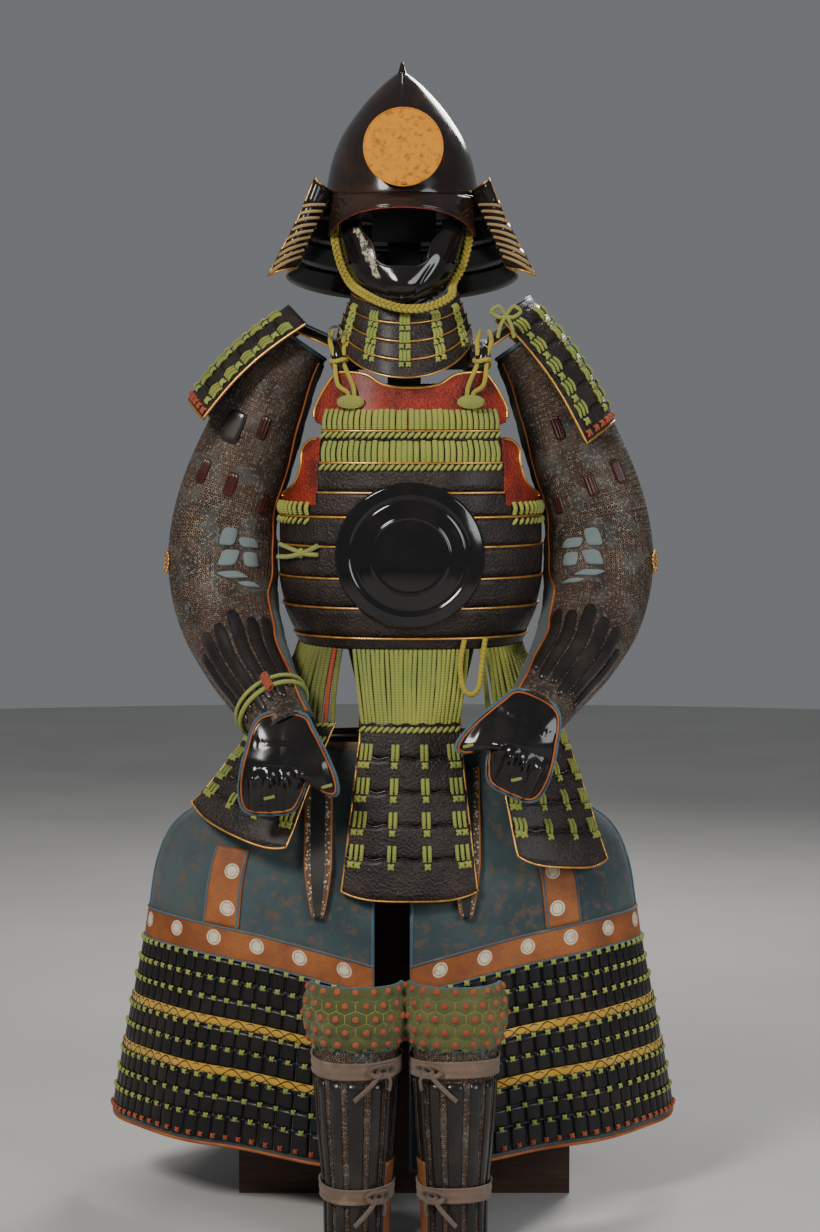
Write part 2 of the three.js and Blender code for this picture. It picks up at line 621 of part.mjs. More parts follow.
// Sleeves
function sleeveRow(side, along) {
  const row = rowAt(SLEEVE, 'along', along);
  const lift = HAND_LIFT[side < 0 ? 'left' : 'right'];
  row.z += lift * Math.max(0, (along - 4) / 4) ** 1.5;
  row.x = SLEEVE_X + side * row.out;
  return row;
}
function sleevePoint(side, turn, along, lift = 0) {
  const row = sleeveRow(side, along);
  const middle = vec(row.x, row.y, row.z);
  const ahead = sleeveRow(side, along + 0.01);
  const behind = sleeveRow(side, along - 0.01);
  const path = vec(ahead.x - behind.x, ahead.y - behind.y, ahead.z - behind.z).normalize();
  const deep = vec(0, 1, 0).addScaledVector(path, -path.y).normalize();
  const wide = path.clone().cross(deep).multiplyScalar(side).normalize();
  const angle = 2 * Math.PI * turn;
  return middle.addScaledVector(wide, (row.wide + lift) * Math.cos(angle))
    .addScaledVector(deep, (row.deep + lift) * Math.sin(angle));
}
const SLEEVE_SIDES = 16;
const SLEEVE_TURNS = steps(SLEEVE_SIDES).slice(0, -1);
const SLEEVE_ALONG = [0, 0.9, 1.8, 2.7, 3.5, 4.2, 4.9, 5.5, 6.6, 7.7, 8];
function sleeveSpec(side) {
  const splint = (turn, along) => {
    const front = Math.abs(turn - 0.75) < 0.22 || turn < 0.06 || turn > 0.94;
    const raised = Math.round(turn * SLEEVE_SIDES) % 2 === 0;
    return along > 5 && along < 7.9 && front && raised ? 3 : 0;
  };
  return {
    at: (s, t) => sleevePoint(side, s, t), across: SLEEVE_TURNS, along: SLEEVE_ALONG, thick: CLOTH,
    relief: splint, around: true, inside: (s, t) => sleevePoint(side, 0, t, -500),
  };
}

function elbowBoss(side) {
  const spot = sleevePoint(side, 0, 4.05);
  const outline = (f) => {
    const angle = f * 2 * Math.PI;
    return spot.clone().add(vec(-side * 2, 8 * Math.cos(angle), 13 * Math.sin(angle)));
  };
  const boss = dome({ outline, rings: 1, spokes: 10, rise: 4, thick: 2, out: vec(side, 0, 0) });
  return largest(boss.subtract(wall(sleeveSpec(side), GAP)));
}

// Hand guards: a domed plate with the outline of a mitten, hung on the end of the sleeve
const HAND = [
  { x: -26, z: 58 }, { x: 26, z: 62 }, { x: 44, z: 40 }, { x: 68, z: -8 }, { x: 74, z: -36 }, { x: 62, z: -39 },
  { x: 36, z: -24 }, { x: 27, z: -42 }, { x: 14, z: -62 }, { x: -20, z: -66 },
  { x: -46, z: -60 }, { x: -52, z: -30 }, { x: -44, z: 14 },
];
function handGuard(side) {
  const lift = HAND_LIFT[side < 0 ? 'left' : 'right'];
  const middle = vec(SLEEVE_X - 14 + side * 159, -238, 622 + lift);
  const flat = new THREE.CatmullRomCurve3(HAND.map(({ x, z }) => vec(x, 0, z)), true, 'centripetal');
  const roll = side > 0 ? radians(24) : 0;
  const onHand = (p) => {
    const x = p.x * Math.cos(roll) - p.z * Math.sin(roll);
    const z = p.x * Math.sin(roll) + p.z * Math.cos(roll);
    return vec(middle.x - side * x, middle.y + 0.28 * Math.max(0, z) - 0.1 * Math.abs(x), middle.z + z);
  };
  const plate = dome({
    outline: (f) => onHand(flat.getPoint(f)), centre: onHand(vec(0, 0, 5)),
    rings: 3, spokes: 26, rise: 14, thick: 2.4, out: vec(0, -1, 0),
  });
  return largest(plate.subtract(wall(sleeveSpec(side), GAP)));
}

// Shoulder guards hang from the shoulder over the top of the sleeve
const GUARDS = {
  left: { x0: -159, z0: 1231, x1: -300, z1: 1102, half: 78, drop: 38, from: 109.3 },
  right: { x0: 172, z0: 1244, x1: 292, z1: 1072, half: 84, drop: 54, from: 109.7 },
};
function guardSurface(side) {
  const g = GUARDS[side < 0 ? 'left' : 'right'];
  const line = vec(g.x1 - g.x0, 0, g.z1 - g.z0).normalize();
  const out = vec(-line.z * side, 0, line.x * side);
  return (s, t) => {
    const bend = (2 * s - 1) ** 2;
    const point = vec(lerp(g.x0, g.x1, t), 2 + g.half * (2 * s - 1), lerp(g.z0, g.z1, t));
    return point.addScaledVector(out, 10 * Math.sin(Math.PI * t) - g.drop * bend);
  };
}
function guardSpec(side) {
  const rows = lameRows([0, 20, 40, 60, 80, 100]);
  return {
    at: guardSurface(side), across: steps(8), along: rows.map((row) => row.level / 100), thick: PLATE,
    relief: (s, t) => STEP - riseAt(rows, t * 100), inside: vec(side * 140, 0, 1050),
  };
}

// A small padded wing between the strap and the shoulder guard
function shoulderWing(side) {
  const g = GUARDS[side < 0 ? 'left' : 'right'];
  const start = TORSO_X + side * g.from;
  const end = g.x0 + side * 18;
  const at = (s, t) => {
    const y = 54 * (2 * t - 1) * (1 - 0.45 * s * s);
    const bend = (2 * t - 1) ** 2;
    return vec(lerp(start, end, s), POST.y - 8 + y, lerp(1186, g.z0 - 12, s) - 12 * bend);
  };
  const pad = wall({ at, across: steps(3), along: steps(5), thick: 4, inside: vec(start, 0, 1000) });
  return largest(pad.subtract(wall(guardSpec(side), GAP)));
}

// Tassets and the lacing skirts that carry them
function tassetSurface({ x0, y0, z0, x1, y1, z1, w0, w1, heading, lean }) {
  const turn = radians(heading);
  const wide = vec(Math.cos(turn), Math.sin(turn), 0);
  const out = vec(Math.sin(turn), -Math.cos(turn), 0);
  return (s, t) => {
    const side = 2 * s - 1;
    const half = lerp(w0, w1, t);
    const rounding = 12 * side ** 4 * t ** 6;
    const point = vec(lerp(x0, x1, t), lerp(y0, y1, t), lerp(z0, z1, t) + rounding);
    point.addScaledVector(wide, half * side);
    point.addScaledVector(out, -15 * side * side + 6 * Math.sin(Math.PI * t));
    point.z -= Math.tan(radians(lean)) * half * side * t;
    return point;
  };
}
const TASSET_LAMES = [0, 19, 38, 57, 76, 100];
function tasset(row) {
  const rows = lameRows(TASSET_LAMES);
  const inside = vec(row.x0 * 0.2, row.y0 * 0.2, row.z0);
  return wall({
    at: tassetSurface(row), across: steps(row.y0 > 0 ? 5 : 7), along: rows.map((r) => r.level / 100), thick: PLATE,
    relief: (s, t) => STEP - riseAt(rows, t * 100), inside, upright: true,
  });
}
function lacingSkirt(name) {
  const { from, to, cords } = SKIRTS[name];
  const row = TASSETS[name];
  const foot = tassetSurface(row);
  const at = (s, t) => {
    const high = torsoPoint(lerp(from, to, s), CUIRASS.bottom);
    const low = foot(s, 0);
    high.z -= GAP;
    low.z += GAP;
    return high.lerp(low, t);
  };
  const across = steps(cords * 2);
  const relief = (s) => (Math.round(s * cords * 2) % 2 === 1 ? 2.6 : 0);
  return wall({ at, across, along: [0, 1], thick: CLOTH, relief, inside: vec(TORSO_X, 0, 700), upright: true });
}

// Waistband that the thigh cloths hang from, drawn round the lower bar of the stand
function waistband() {
  const row = { half: 152.5, front: 109.2, back: 70 };
  const at = (s, t) => ovalPoint(row, 2 * Math.PI * s, lerp(600, 634, t), THIGH_X);
  return {
    at, across: steps(22).slice(0, -1), along: [0, 1], thick: 3, around: true, inside: vec(0, 0, 615), upright: true,
  };
}

// Thigh cloths: a quarter oval in plan, from the outer side to the middle of the front
function thighPoint(side, s, z) {
  const row = rowAt(THIGH, 'z', z);
  const angle = radians(90 * s);
  const low = Math.max(0, (340 - z) / 240);
  const fold = (3 + 5 * low) * Math.sin(s * Math.PI * 5.2) * Math.min(1, (640 - z) / 200);
  const x = row.inner + (row.out - row.inner) * Math.cos(angle);
  const y = row.side + (-row.front - row.side) * Math.sin(angle) - fold * Math.sin(angle);
  return vec(THIGH_X + side * x, y, z - row.fall * Math.max(0, s) ** 2.7);
}
const THIGH_ACROSS = [
  0, 0.08, 0.17, 0.25, 0.33, 0.4, BELT.strapFrom, 0.535, BELT.strapTo, 0.68, 0.76, 0.84, 0.92, 1,
];
const THIGH_HEIGHTS = [100, 180, 270, BELT.low, BELT.high, BELT.strapTop, 545, 585, 622];
function thighSpec(side) {
  return {
    at: (s, z) => thighPoint(side, s, z), across: THIGH_ACROSS, along: THIGH_HEIGHTS, thick: CLOTH,
    inside: vec(THIGH_X + side * 120, 150, 300), upright: true,
  };
}
function thighLeather(side) {
  const spec = thighSpec(side);
  const layer = { ...spec, at: faceted(spec), lift: CLOTH + LIE, thick: 2 };
  const belt = wall({ ...layer, along: [BELT.low, BELT.high] });
  const strapAcross = [BELT.strapFrom, 0.535, BELT.strapTo];
  const strap = wall({ ...layer, across: strapAcross, along: [BELT.high - 3, BELT.high, BELT.strapTop] });
  return belt.add(strap);
}
// Each stretch between two columns of the cloth carries one splint, raised along its middle
function thighSplints(side) {
  const spec = thighSpec(side);
  const inset = 0.004;
  const middles = THIGH_ACROSS.slice(1).map((s, i) => (s + THIGH_ACROSS[i]) / 2);
  const across = [...THIGH_ACROSS, ...middles].sort((a, b) => a - b);
  across[0] += inset;
  across[across.length - 1] -= inset;
  return wall({
    ...spec, at: faceted(spec), across, along: [108, 180, 270, BELT.low - GAP], lift: CLOTH + LIE,
    thick: PLATE, relief: (s) => (middles.includes(s) ? 2.2 : 0),
  });
}

// Long narrow tongues with a pointed foot, lying on the thigh cloths beside the front tasset
const TONGUE = { from: 0.79, to: 0.885, top: 600, foot: 405, half: 19 };
function hipTongue(side) {
  const spec = thighSpec(side);
  const strip = wall({
    ...spec, at: faceted(spec), across: [TONGUE.from, 0.84, TONGUE.to], along: [425, 500, 545, 585, TONGUE.top],
    lift: CLOTH + LIE, thick: 3,
  });
  const x = THIGH_X + side * 100;
  const { half, top, foot } = TONGUE;
  const outline = [[-half, top + 20], [half, top + 20], [half, foot + 34], [half * 0.7, foot + 10], [0, foot],
    [-half * 0.7, foot + 10], [-half, foot + 34]];
  return largest(strip.intersect(frontBlock(outline.map(([dx, z]) => [x + dx, z]), -300, 0)));
}

// Shin guards stand on the floor, open behind
const SHIN_ROWS = [
  { z: 0, half: 38, front: 48, back: 34 },
  { z: 70, half: 40, front: 50, back: 36 },
  { z: 170, half: 49, front: 58, back: 46 },
  { z: 262, half: 54, front: 60, back: 48 },
];
function shinPoint(side, degrees, z) {
  const p = ovalPoint(rowAt(SHIN_ROWS, 'z', z), radians(degrees), z, SHIN.x + side * SHIN.apart);
  p.y += SHIN.y;
  return p;
}
const SHIN_TURN = 138;
const SHIN_COLUMNS = 14;
const SHIN_ANGLES = steps(SHIN_COLUMNS, -SHIN_TURN, SHIN_TURN);
function shinSpec(side) {
  return {
    at: (s, z) => shinPoint(side, s, z), across: SHIN_ANGLES, along: [0, 70, 170, 222, SHIN.top],
    thick: 3, inside: vec(SHIN.x + side * SHIN.apart, SHIN.y, 120),
    relief: (s, z) => (Math.round((s / SHIN_TURN + 1) / 2 * SHIN_COLUMNS) % 2 === 1 && z < 222 ? 2.4 : 0),
    upright: true,
  };
}
const KNEE = { top: 344, half: 78, columns: 10, rows: 6 };
function kneePad(side) {
  const at = (s, t) => {
    const corner = Math.abs(2 * s - 1) ** 4;
    const p = shinPoint(side, lerp(-KNEE.half, KNEE.half, s), SHIN.top);
    const z = lerp(SHIN.top + GAP, KNEE.top - 26 * corner, t);
    return vec(p.x, p.y - 12 * Math.sin(Math.PI * t * 0.9), z);
  };
  const raised = (s, t) => (Math.round(s * KNEE.columns) + Math.round(t * KNEE.rows)) % 2 === 0;
  return wall({
    at, across: steps(KNEE.columns), along: steps(KNEE.rows), thick: 4, upright: true,
    relief: (s, t) => (raised(s, t) ? 3.4 : 0), inside: vec(SHIN.x + side * SHIN.apart, SHIN.y, 300),
  });
}

const TIES = { upper: { z: 226, high: 22, lift: 4.2 }, lower: { z: 60, high: 20, lift: 6.7 } };
// A hemp band round the shin with a knot in front and two loose ends
function shinTie(side, { z, high, lift }) {
  const middle = vec(SHIN.x + side * SHIN.apart, SHIN.y, z);
  const band = wall({
    at: (s, t) => shinPoint(side, 360 * s, lerp(z, z + high, t)), across: steps(18).slice(0, -1), along: [0, 1],
    thick: 3.5, lift, around: true, inside: middle, upright: true,
  });
  const front = shinPoint(side, side * -8, z + high / 2).add(vec(0, -lift - 4, 0));
  const knot = new THREE.SphereGeometry(1, 6, 3);
  knot.scale(11, 6, 9);
  knot.translate(front.x, front.y, front.z);
  const tails = [-1, 1].map((way) => cord([front, front.clone().add(vec(way * 14, -3, -12)),
    front.clone().add(vec(way * 20, -3, -34))], 3.4, 2, 4));
  return wasm.Manifold.union([band, solidFrom(knot), ...tails]);
}

// Cords
function chinCord() {
  const lift = PLATE + 6 + GAP;
  const below = [[-56, -108, 1246], [-30, -134, 1232], [0, -142, 1224], [32, -139, 1226], [62, -116, 1241]];
  const side = (sign) => [
    vec(HEAD.x + sign * 91.4, -46.4, HEAD.base - LIE), vec(HEAD.x + sign * 92.8, -47, 1346),
    maskPoint(sign * 84, 1318, lift), maskPoint(sign * 80, 1284, lift), maskPoint(sign * 72, 1260, lift)];
  const points = [...side(-1), ...below.map(([x, y, z]) => vec(x, y, z)), ...side(1).reverse()];
  return cord(points, 6, 18).subtract(wall(maskSpec(), GAP));
}
function wristCord() {
  const points = steps(16).map((f) => sleevePoint(-1, 0.25 + 1.02 * f, 7.28 + 0.16 * f, 4.7));
  return cord(points, 3.2, 16, 8).subtract(wall(sleeveSpec(-1), GAP));
}
function chestTie() {
  const path = [[-112, 905], [-124, 898], [-138, 892], [-152, 888], [-166, 886]];
  return cord(path.map(([x, z]) => onTorso(x, z, 8)), 3.4, 8);
}
function onTorso(x, z, lift) {
  const row = rowAt(TORSO, 'z', z);
  const side = Math.min(1, Math.abs(x - TORSO_X) / row.half);
  const angle = Math.sign(x - TORSO_X) * Math.asin(side ** (1 / 0.84));
  const p = ovalPoint(row, angle, z, TORSO_X);
  return vec(p.x + lift * Math.sin(angle), p.y - lift * Math.cos(angle), z);
}
function waistLoop() {
  const hanging = [[76, -153, 745], [80, -155, 714], [91, -154, 704], [101, -149, 714], [105, -143, 742]];
  return cord([onTorso(79, 779, 7.2), ...hanging.map(([x, y, z]) => vec(x, y, z)), onTorso(106, 779, 7.2)], 3.6, 12);
}

place('chest', 'wood', chestBody());
place('chest_lid_and_post', 'wood', stand());
place('helmet_bowl', 'brownLacquer', helmetBowl());
place('helmet_disc', 'gilt', helmetDisc());
place('neck_guard', 'blackLacquer', neckGuard());
place('face_guard', 'blackLacquer', faceGuard());
place('throat_guard', 'grainedHide', throatGuard());
place('cuirass_front', 'grainedHide', cuirassFront());
place('cuirass_back', 'grainedHide', cuirassBack());
place('chest_plate', 'redHide', chestPlate());
place('chest_roundel', 'blackLacquer', chestRoundel());
for (const [side, hand] of [[-1, 'left'], [1, 'right']]) {
  place(`neck_flap_${hand}`, 'gilt', neckFlap(side));
  place(`side_plate_${hand}`, 'redHide', sidePlate(side));
  place(`shoulder_strap_${hand}`, 'grainedHide', shoulderStrap(side));
  place(`shoulder_wing_${hand}`, 'blackLacquer', shoulderWing(side));
  place(`shoulder_guard_${hand}`, 'grainedHide', wall(guardSpec(side)));
  place(`sleeve_${hand}`, 'mailCloth', wall(sleeveSpec(side)));
  place(`elbow_boss_${hand}`, 'gilt', elbowBoss(side));
  place(`hand_guard_${hand}`, 'blackLacquer', handGuard(side));
  place(`thigh_cloth_${hand}`, 'blueCloth', wall(thighSpec(side)));
  place(`thigh_leather_${hand}`, 'orangeLeather', thighLeather(side));
  place(`thigh_splints_${hand}`, 'blackLacquer', thighSplints(side));
  place(`hip_tongue_${hand}`, 'blackLacquer', hipTongue(side));
  place(`shin_guard_${hand}`, 'blackLacquer', wall(shinSpec(side)));
  place(`knee_pad_${hand}`, 'greenQuilt', kneePad(side));
  place(`shin_tie_upper_${hand}`, 'hemp', shinTie(side, TIES.upper));
  place(`shin_tie_lower_${hand}`, 'hemp', shinTie(side, TIES.lower));
}
for (const [name, row] of Object.entries(TASSETS)) {
  place(`tasset_${name}`, 'grainedHide', tasset(row));
  place(`skirt_${name}`, 'lacing', lacingSkirt(name));
}
place('waistband', 'blueCloth', wall(waistband()));
place('chin_cord', 'yellowBraid', chinCord());
place('wrist_cord', 'lacing', wristCord());
place('chest_tie', 'lacing', chestTie());
place('waist_loop', 'lacing', waistLoop());

export default group;
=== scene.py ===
"""Samurai armour on its wooden chest: lames, lacing, mail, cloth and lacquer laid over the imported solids."""
import math
import random

import bmesh
import bpy
import numpy as np
from bpy.props import FloatProperty, FloatVectorProperty, IntProperty, PointerProperty
from mathutils import Matrix, Vector


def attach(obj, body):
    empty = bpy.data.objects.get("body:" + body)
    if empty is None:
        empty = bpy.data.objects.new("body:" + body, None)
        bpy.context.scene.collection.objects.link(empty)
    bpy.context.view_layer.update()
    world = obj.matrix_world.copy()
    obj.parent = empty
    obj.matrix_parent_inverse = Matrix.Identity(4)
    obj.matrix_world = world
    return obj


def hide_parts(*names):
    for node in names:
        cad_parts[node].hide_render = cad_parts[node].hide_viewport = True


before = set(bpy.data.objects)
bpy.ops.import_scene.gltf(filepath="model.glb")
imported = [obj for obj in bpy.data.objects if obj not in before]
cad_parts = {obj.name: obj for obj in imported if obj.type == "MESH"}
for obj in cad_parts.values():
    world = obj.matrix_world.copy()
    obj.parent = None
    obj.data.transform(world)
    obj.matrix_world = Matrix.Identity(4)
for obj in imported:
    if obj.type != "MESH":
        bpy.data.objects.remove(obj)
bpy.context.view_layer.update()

bl_info = {
    "name": "Samurai armour on its chest",
    "version": (1, 0, 0),
    "blender": (4, 5, 0),
    "location": "View3D > Sidebar > Armour",
    "description": "Builds a laced plate armour on its stand, piece by piece",
    "category": "Add Mesh",
}

# The tables repeat the named values of the part's source, in millimetres before SHIFT is added
MM = 0.001
SHIFT = np.array([16.0, 41.626, 0.0])
SIDES = ((-1, "left"), (1, "right"))
HEAD_X = -3
TORSO_X = 9
THIGH_X = -16
SLEEVE_X = 9
SHIN_X, SHIN_Y, SHIN_APART, SHIN_TOP = 2, -300, 64, 262
HAND_LIFT = {-1: 0, 1: 26}


def rows(columns, *values):
    return columns.split(), np.array(values, dtype=float)


TORSO = rows("z half front back", (765, 153, 150, 92), (820, 174, 164, 104), (878, 181, 170, 112),
             (970, 177, 166, 114), (1051, 168, 151, 108), (1142, 150, 126, 96))
SLEEVE = rows("along out y z wide deep", (0, 149, 8, 1178, 34, 50), (1, 194, 8, 1112, 55, 57),
              (2, 227.4, 4, 1032, 65, 58), (3, 257, 0, 950, 69, 60), (4, 264, -8, 878, 74, 62),
              (5, 256, -36, 812, 69, 59), (6, 229, -92, 752, 58, 52), (7, 196, -152, 703, 47, 44),
              (8, 164, -206, 656, 38, 35))
TASSETS = {
    "front": dict(top=(8, -160, 664), foot=(7, -204, 430), w0=66, w1=92, heading=0, lean=0),
    "front_left": dict(top=(-152, -108, 664), foot=(-232, -176, 517), w0=62, w1=80, heading=-34, lean=17),
    "front_right": dict(top=(168, -110, 672), foot=(222, -182, 473), w0=58, w1=74, heading=32, lean=6),
    "back_left": dict(top=(-160, 50, 664), foot=(-214, 78, 470), w0=60, w1=74, heading=-118, lean=0),
    "back_right": dict(top=(176, 50, 664), foot=(230, 78, 470), w0=60, w1=74, heading=118, lean=0),
    "back": dict(top=(8, 108, 664), foot=(8, 152, 440), w0=70, w1=90, heading=180, lean=0),
}
SKIRTS = {"front": (-27, 27, 25), "front_left": (-78, -33, 14), "front_right": (33, 78, 14),
          "back_left": (-138, -86, 14), "back_right": (86, 138, 14), "back": (146, 214, 22)}
TASSET_LAMES = (0, 0.19, 0.38, 0.57, 0.76, 1)
THIGH = rows("z out inner side front fall", (100, 394, 24, -4, 218, 35), (200, 375, 24, -18, 210, 44),
             (340, 346, 25, -40, 199, 55), (400, 336, 25, -48, 192, 60), (470, 323, 25, -52, 180, 45),
             (520, 296, 24, -58, 164, 28), (560, 236, 20, -68, 142, 12), (622, 146, 14, -74, 112, 0))
BOWL = rows("z r", (1374, 106), (1384, 106), (1429, 98), (1466, 83), (1504, 57), (1536, 27), (1552, 7))
MASK = rows("z half front", (1230, 30, 116), (1242, 52, 126), (1262, 66, 130), (1292, 78, 124),
            (1322, 84, 114), (1346, 85, 106))
SHIN = rows("z half front back", (0, 38, 48, 34), (70, 40, 50, 36), (170, 49, 58, 46), (262, 54, 60, 48))
GUARDS = {-1: dict(x0=-159, z0=1231, x1=-300, z1=1102, half=78, drop=38),
          1: dict(x0=172, z0=1244, x1=292, z1=1072, half=84, drop=54)}
HAND = ((-26, 58), (26, 62), (44, 40), (68, -8), (74, -36), (62, -39), (36, -24), (27, -42), (14, -62),
        (-20, -66), (-46, -60), (-52, -30), (-44, 14))
FRONT_LEVELS = (765, 781, 822, 862, 905, 945, 978, 1018, 1044, 1062)
BACK_LEVELS = (765, 822, 905, 978, 1050, 1125)


LAME_THICK = 2.0
LAME_STEP = 2.0


# Small maths helpers
def lerp(a, b, f):
    return a + (b - a) * f


def row_at(table, value):
    """One smooth row of a table, by its first column."""
    columns, values = table
    key = values[:, 0]
    last = len(key) - 1
    i = int(min(max(np.searchsorted(key, value) - 1, 0), last - 1))
    a, b = values[i], values[i + 1]
    before, after = values[max(i - 1, 0)], values[min(i + 2, last)]
    span = b[0] - a[0]
    f = (value - a[0]) / span
    slope_a = (b - before) / (b[0] - before[0]) * span
    slope_b = (after - a) / (after[0] - a[0]) * span
    row = ((2 * f**3 - 3 * f**2 + 1) * a + (f**3 - 2 * f**2 + f) * slope_a
           + (3 * f**2 - 2 * f**3) * b + (f**3 - f**2) * slope_b)
    return dict(zip(columns, row))


def bend(value):
    return math.copysign(abs(value) ** 0.84, value)


def oval_point(row, degrees, z, middle):
    angle = math.radians(degrees)
    side, ahead = bend(math.sin(angle)), bend(math.cos(angle))
    return np.array([middle + row["half"] * side, -(row["front"] if ahead > 0 else row["back"]) * ahead, z])


def torso_point(degrees, z):
    return oval_point(row_at(TORSO, z), degrees, z, TORSO_X)


def on_torso(x, z, lift):
    """The point of the torso's front at one x, raised by lift."""
    half = row_at(TORSO, z)["half"]
    share = min(1, abs(x - TORSO_X) / half) ** (1 / 0.84)
    degrees = math.copysign(math.degrees(math.asin(share)), x - TORSO_X)
    angle = math.radians(degrees)
    return torso_point(degrees, z) + lift * np.array([math.sin(angle), -math.cos(angle), 0])


def neck_point(degrees, t):
    angle = math.radians(degrees)
    back = max(0, (1 - math.cos(angle)) / 2)
    z = lerp(1386, lerp(1286, 1244, back**1.5), t)
    return np.array([HEAD_X + lerp(106.6, 160, t) * math.sin(angle),
                     -lerp(121.5, 168, t) * math.cos(angle), z])


def mask_point(degrees, z, lift=0):
    row = row_at(MASK, z)
    angle = math.radians(degrees)
    cheek = 5 * math.exp(-((abs(degrees) - 39) / 15) ** 2 - ((z - 1294) / 29) ** 2)
    return np.array([HEAD_X + (row["half"] + cheek + lift) * math.sin(angle),
                     -52 - (row["front"] - 52 + cheek + lift) * math.cos(angle), z])


def throat_point(degrees, t):
    angle = math.radians(degrees)
    rise = 1 - math.cos(angle)
    z = lerp(1228 + 22 * rise, 1130 + 66 * rise, t)
    return np.array([1 + lerp(70, 92, t) * math.sin(angle), -48 - lerp(70, 110, t) * math.cos(angle), z])


def sleeve_row(side, along):
    row = row_at(SLEEVE, along)
    z = row["z"] + HAND_LIFT[side] * max(0, (along - 4) / 4) ** 1.5
    return np.array([SLEEVE_X + side * row["out"], row["y"], z]), row["wide"], row["deep"]


def sleeve_point(side, turn, along, lift=0):
    middle, wide, deep = sleeve_row(side, along)
    path = sleeve_row(side, along + 0.01)[0] - sleeve_row(side, along - 0.01)[0]
    path /= np.linalg.norm(path)
    depth = np.array([0, 1, 0]) - path[1] * path
    depth /= np.linalg.norm(depth)
    width = np.cross(path, depth) * side
    angle = 2 * math.pi * turn
    return middle + width * (wide + lift) * math.cos(angle) + depth * (deep + lift) * math.sin(angle)


def guard_point(side, s, t, lift=0):
    g = GUARDS[side]
    line = np.array([g["x1"] - g["x0"], 0, g["z1"] - g["z0"]], dtype=float)
    line /= np.linalg.norm(line)
    out = np.array([-line[2] * side, 0, line[0] * side])
    middle = np.array([lerp(g["x0"], g["x1"], t), 2 + g["half"] * (2 * s - 1), lerp(g["z0"], g["z1"], t)])
    return middle + out * (10 * math.sin(math.pi * t) - g["drop"] * (2 * s - 1) ** 2 + lift)


def tasset_point(name, s, t, lift=0):
    row = TASSETS[name]
    turn = math.radians(row["heading"])
    wide = np.array([math.cos(turn), math.sin(turn), 0])
    out = np.array([math.sin(turn), -math.cos(turn), 0])
    side = 2 * s - 1
    half = lerp(row["w0"], row["w1"], t)
    point = lerp(np.array(row["top"], dtype=float), np.array(row["foot"]), t)
    point += wide * half * side + out * (-15 * side * side + 6 * math.sin(math.pi * t) + lift)
    point[2] += 12 * side**4 * max(t, 0) ** 6 - math.tan(math.radians(row["lean"])) * half * side * t
    return point


def skirt_point(name, s, t, lift=0):
    start, end, _ = SKIRTS[name]
    high = torso_point(lerp(start, end, s), 765) - np.array([0, 0, 0.3])
    low = tasset_point(name, s, 0) + np.array([0, 0, 0.3])
    point = lerp(high, low, t)
    away = point - np.array([TORSO_X, 0, point[2]])
    return point + lift * away / np.linalg.norm(away)


def thigh_point(side, s, z, lift=0):
    row = row_at(THIGH, z)
    angle = math.radians(90 * s)
    low = max(0, (340 - z) / 240)
    fold = (3 + 5 * low) * math.sin(s * math.pi * 5.2) * min(1, (640 - z) / 200)
    x = row["inner"] + (row["out"] - row["inner"]) * math.cos(angle)
    y = row["side"] + (-row["front"] - row["side"]) * math.sin(angle) - fold * math.sin(angle)
    point = np.array([THIGH_X + side * x, y, z - row["fall"] * max(0, s) ** 2.7])
    return point + lift * np.array([side * math.cos(angle), -math.sin(angle), 0])


def shin_point(side, degrees, z, lift=0):
    p = oval_point(row_at(SHIN, z), degrees, z, SHIN_X + side * SHIN_APART) + np.array([0, SHIN_Y, 0])
    angle = math.radians(degrees)
    return p + lift * np.array([math.sin(angle), -math.cos(angle), 0])


def bowl_radius(z):
    return max(row_at(BOWL, min(z, 1552))["r"], 0)


def even_degrees(start, end, count, z):
    """Count + 1 angles round the torso that are evenly far apart at height z."""
    fine = np.linspace(start, end, 361)
    line = np.array([torso_point(d, z) for d in fine])
    along = np.concatenate([[0], np.cumsum(np.linalg.norm(np.diff(line, axis=0), axis=1))])
    return [float(v) for v in np.interp(np.linspace(0, along[-1], count + 1), along, fine)]


def degrees_at(x, z):
    """The angle at which the torso's front crosses TORSO_X + x at height z."""
    share = min(1, abs(x) / row_at(TORSO, z)["half"]) ** (1 / 0.84)
    return math.copysign(math.degrees(math.asin(share)), x)


# Mesh helpers
def link(name, mesh, material, body="root"):
    obj = bpy.data.objects.new(name, mesh)
    bpy.context.collection.objects.link(obj)
    if material is not None:
        obj.data.materials.append(material)
    if body:
        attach(obj, body)
    return obj


def mesh_object(name, points, faces, material, loops_uv=None, smooth=True, body="root"):
    """A mesh from points in millimetres of the source's frame, with one UV pair for each face corner."""
    mesh = bpy.data.meshes.new(name)
    mesh.from_pydata(((np.asarray(points) + SHIFT) * MM).tolist(), [], faces)
    if loops_uv is not None:
        layer = mesh.uv_layers.new(name="UVMap")
        layer.data.foreach_set("uv", np.asarray(loops_uv, dtype=float).ravel())
    mesh.polygons.foreach_set("use_smooth", [smooth] * len(mesh.polygons))
    mesh.validate()
    mesh.update()
    return link(name, mesh, material, body)


def steps(count, low=0.0, high=1.0):
    return [lerp(low, high, i / count) for i in range(count + 1)]


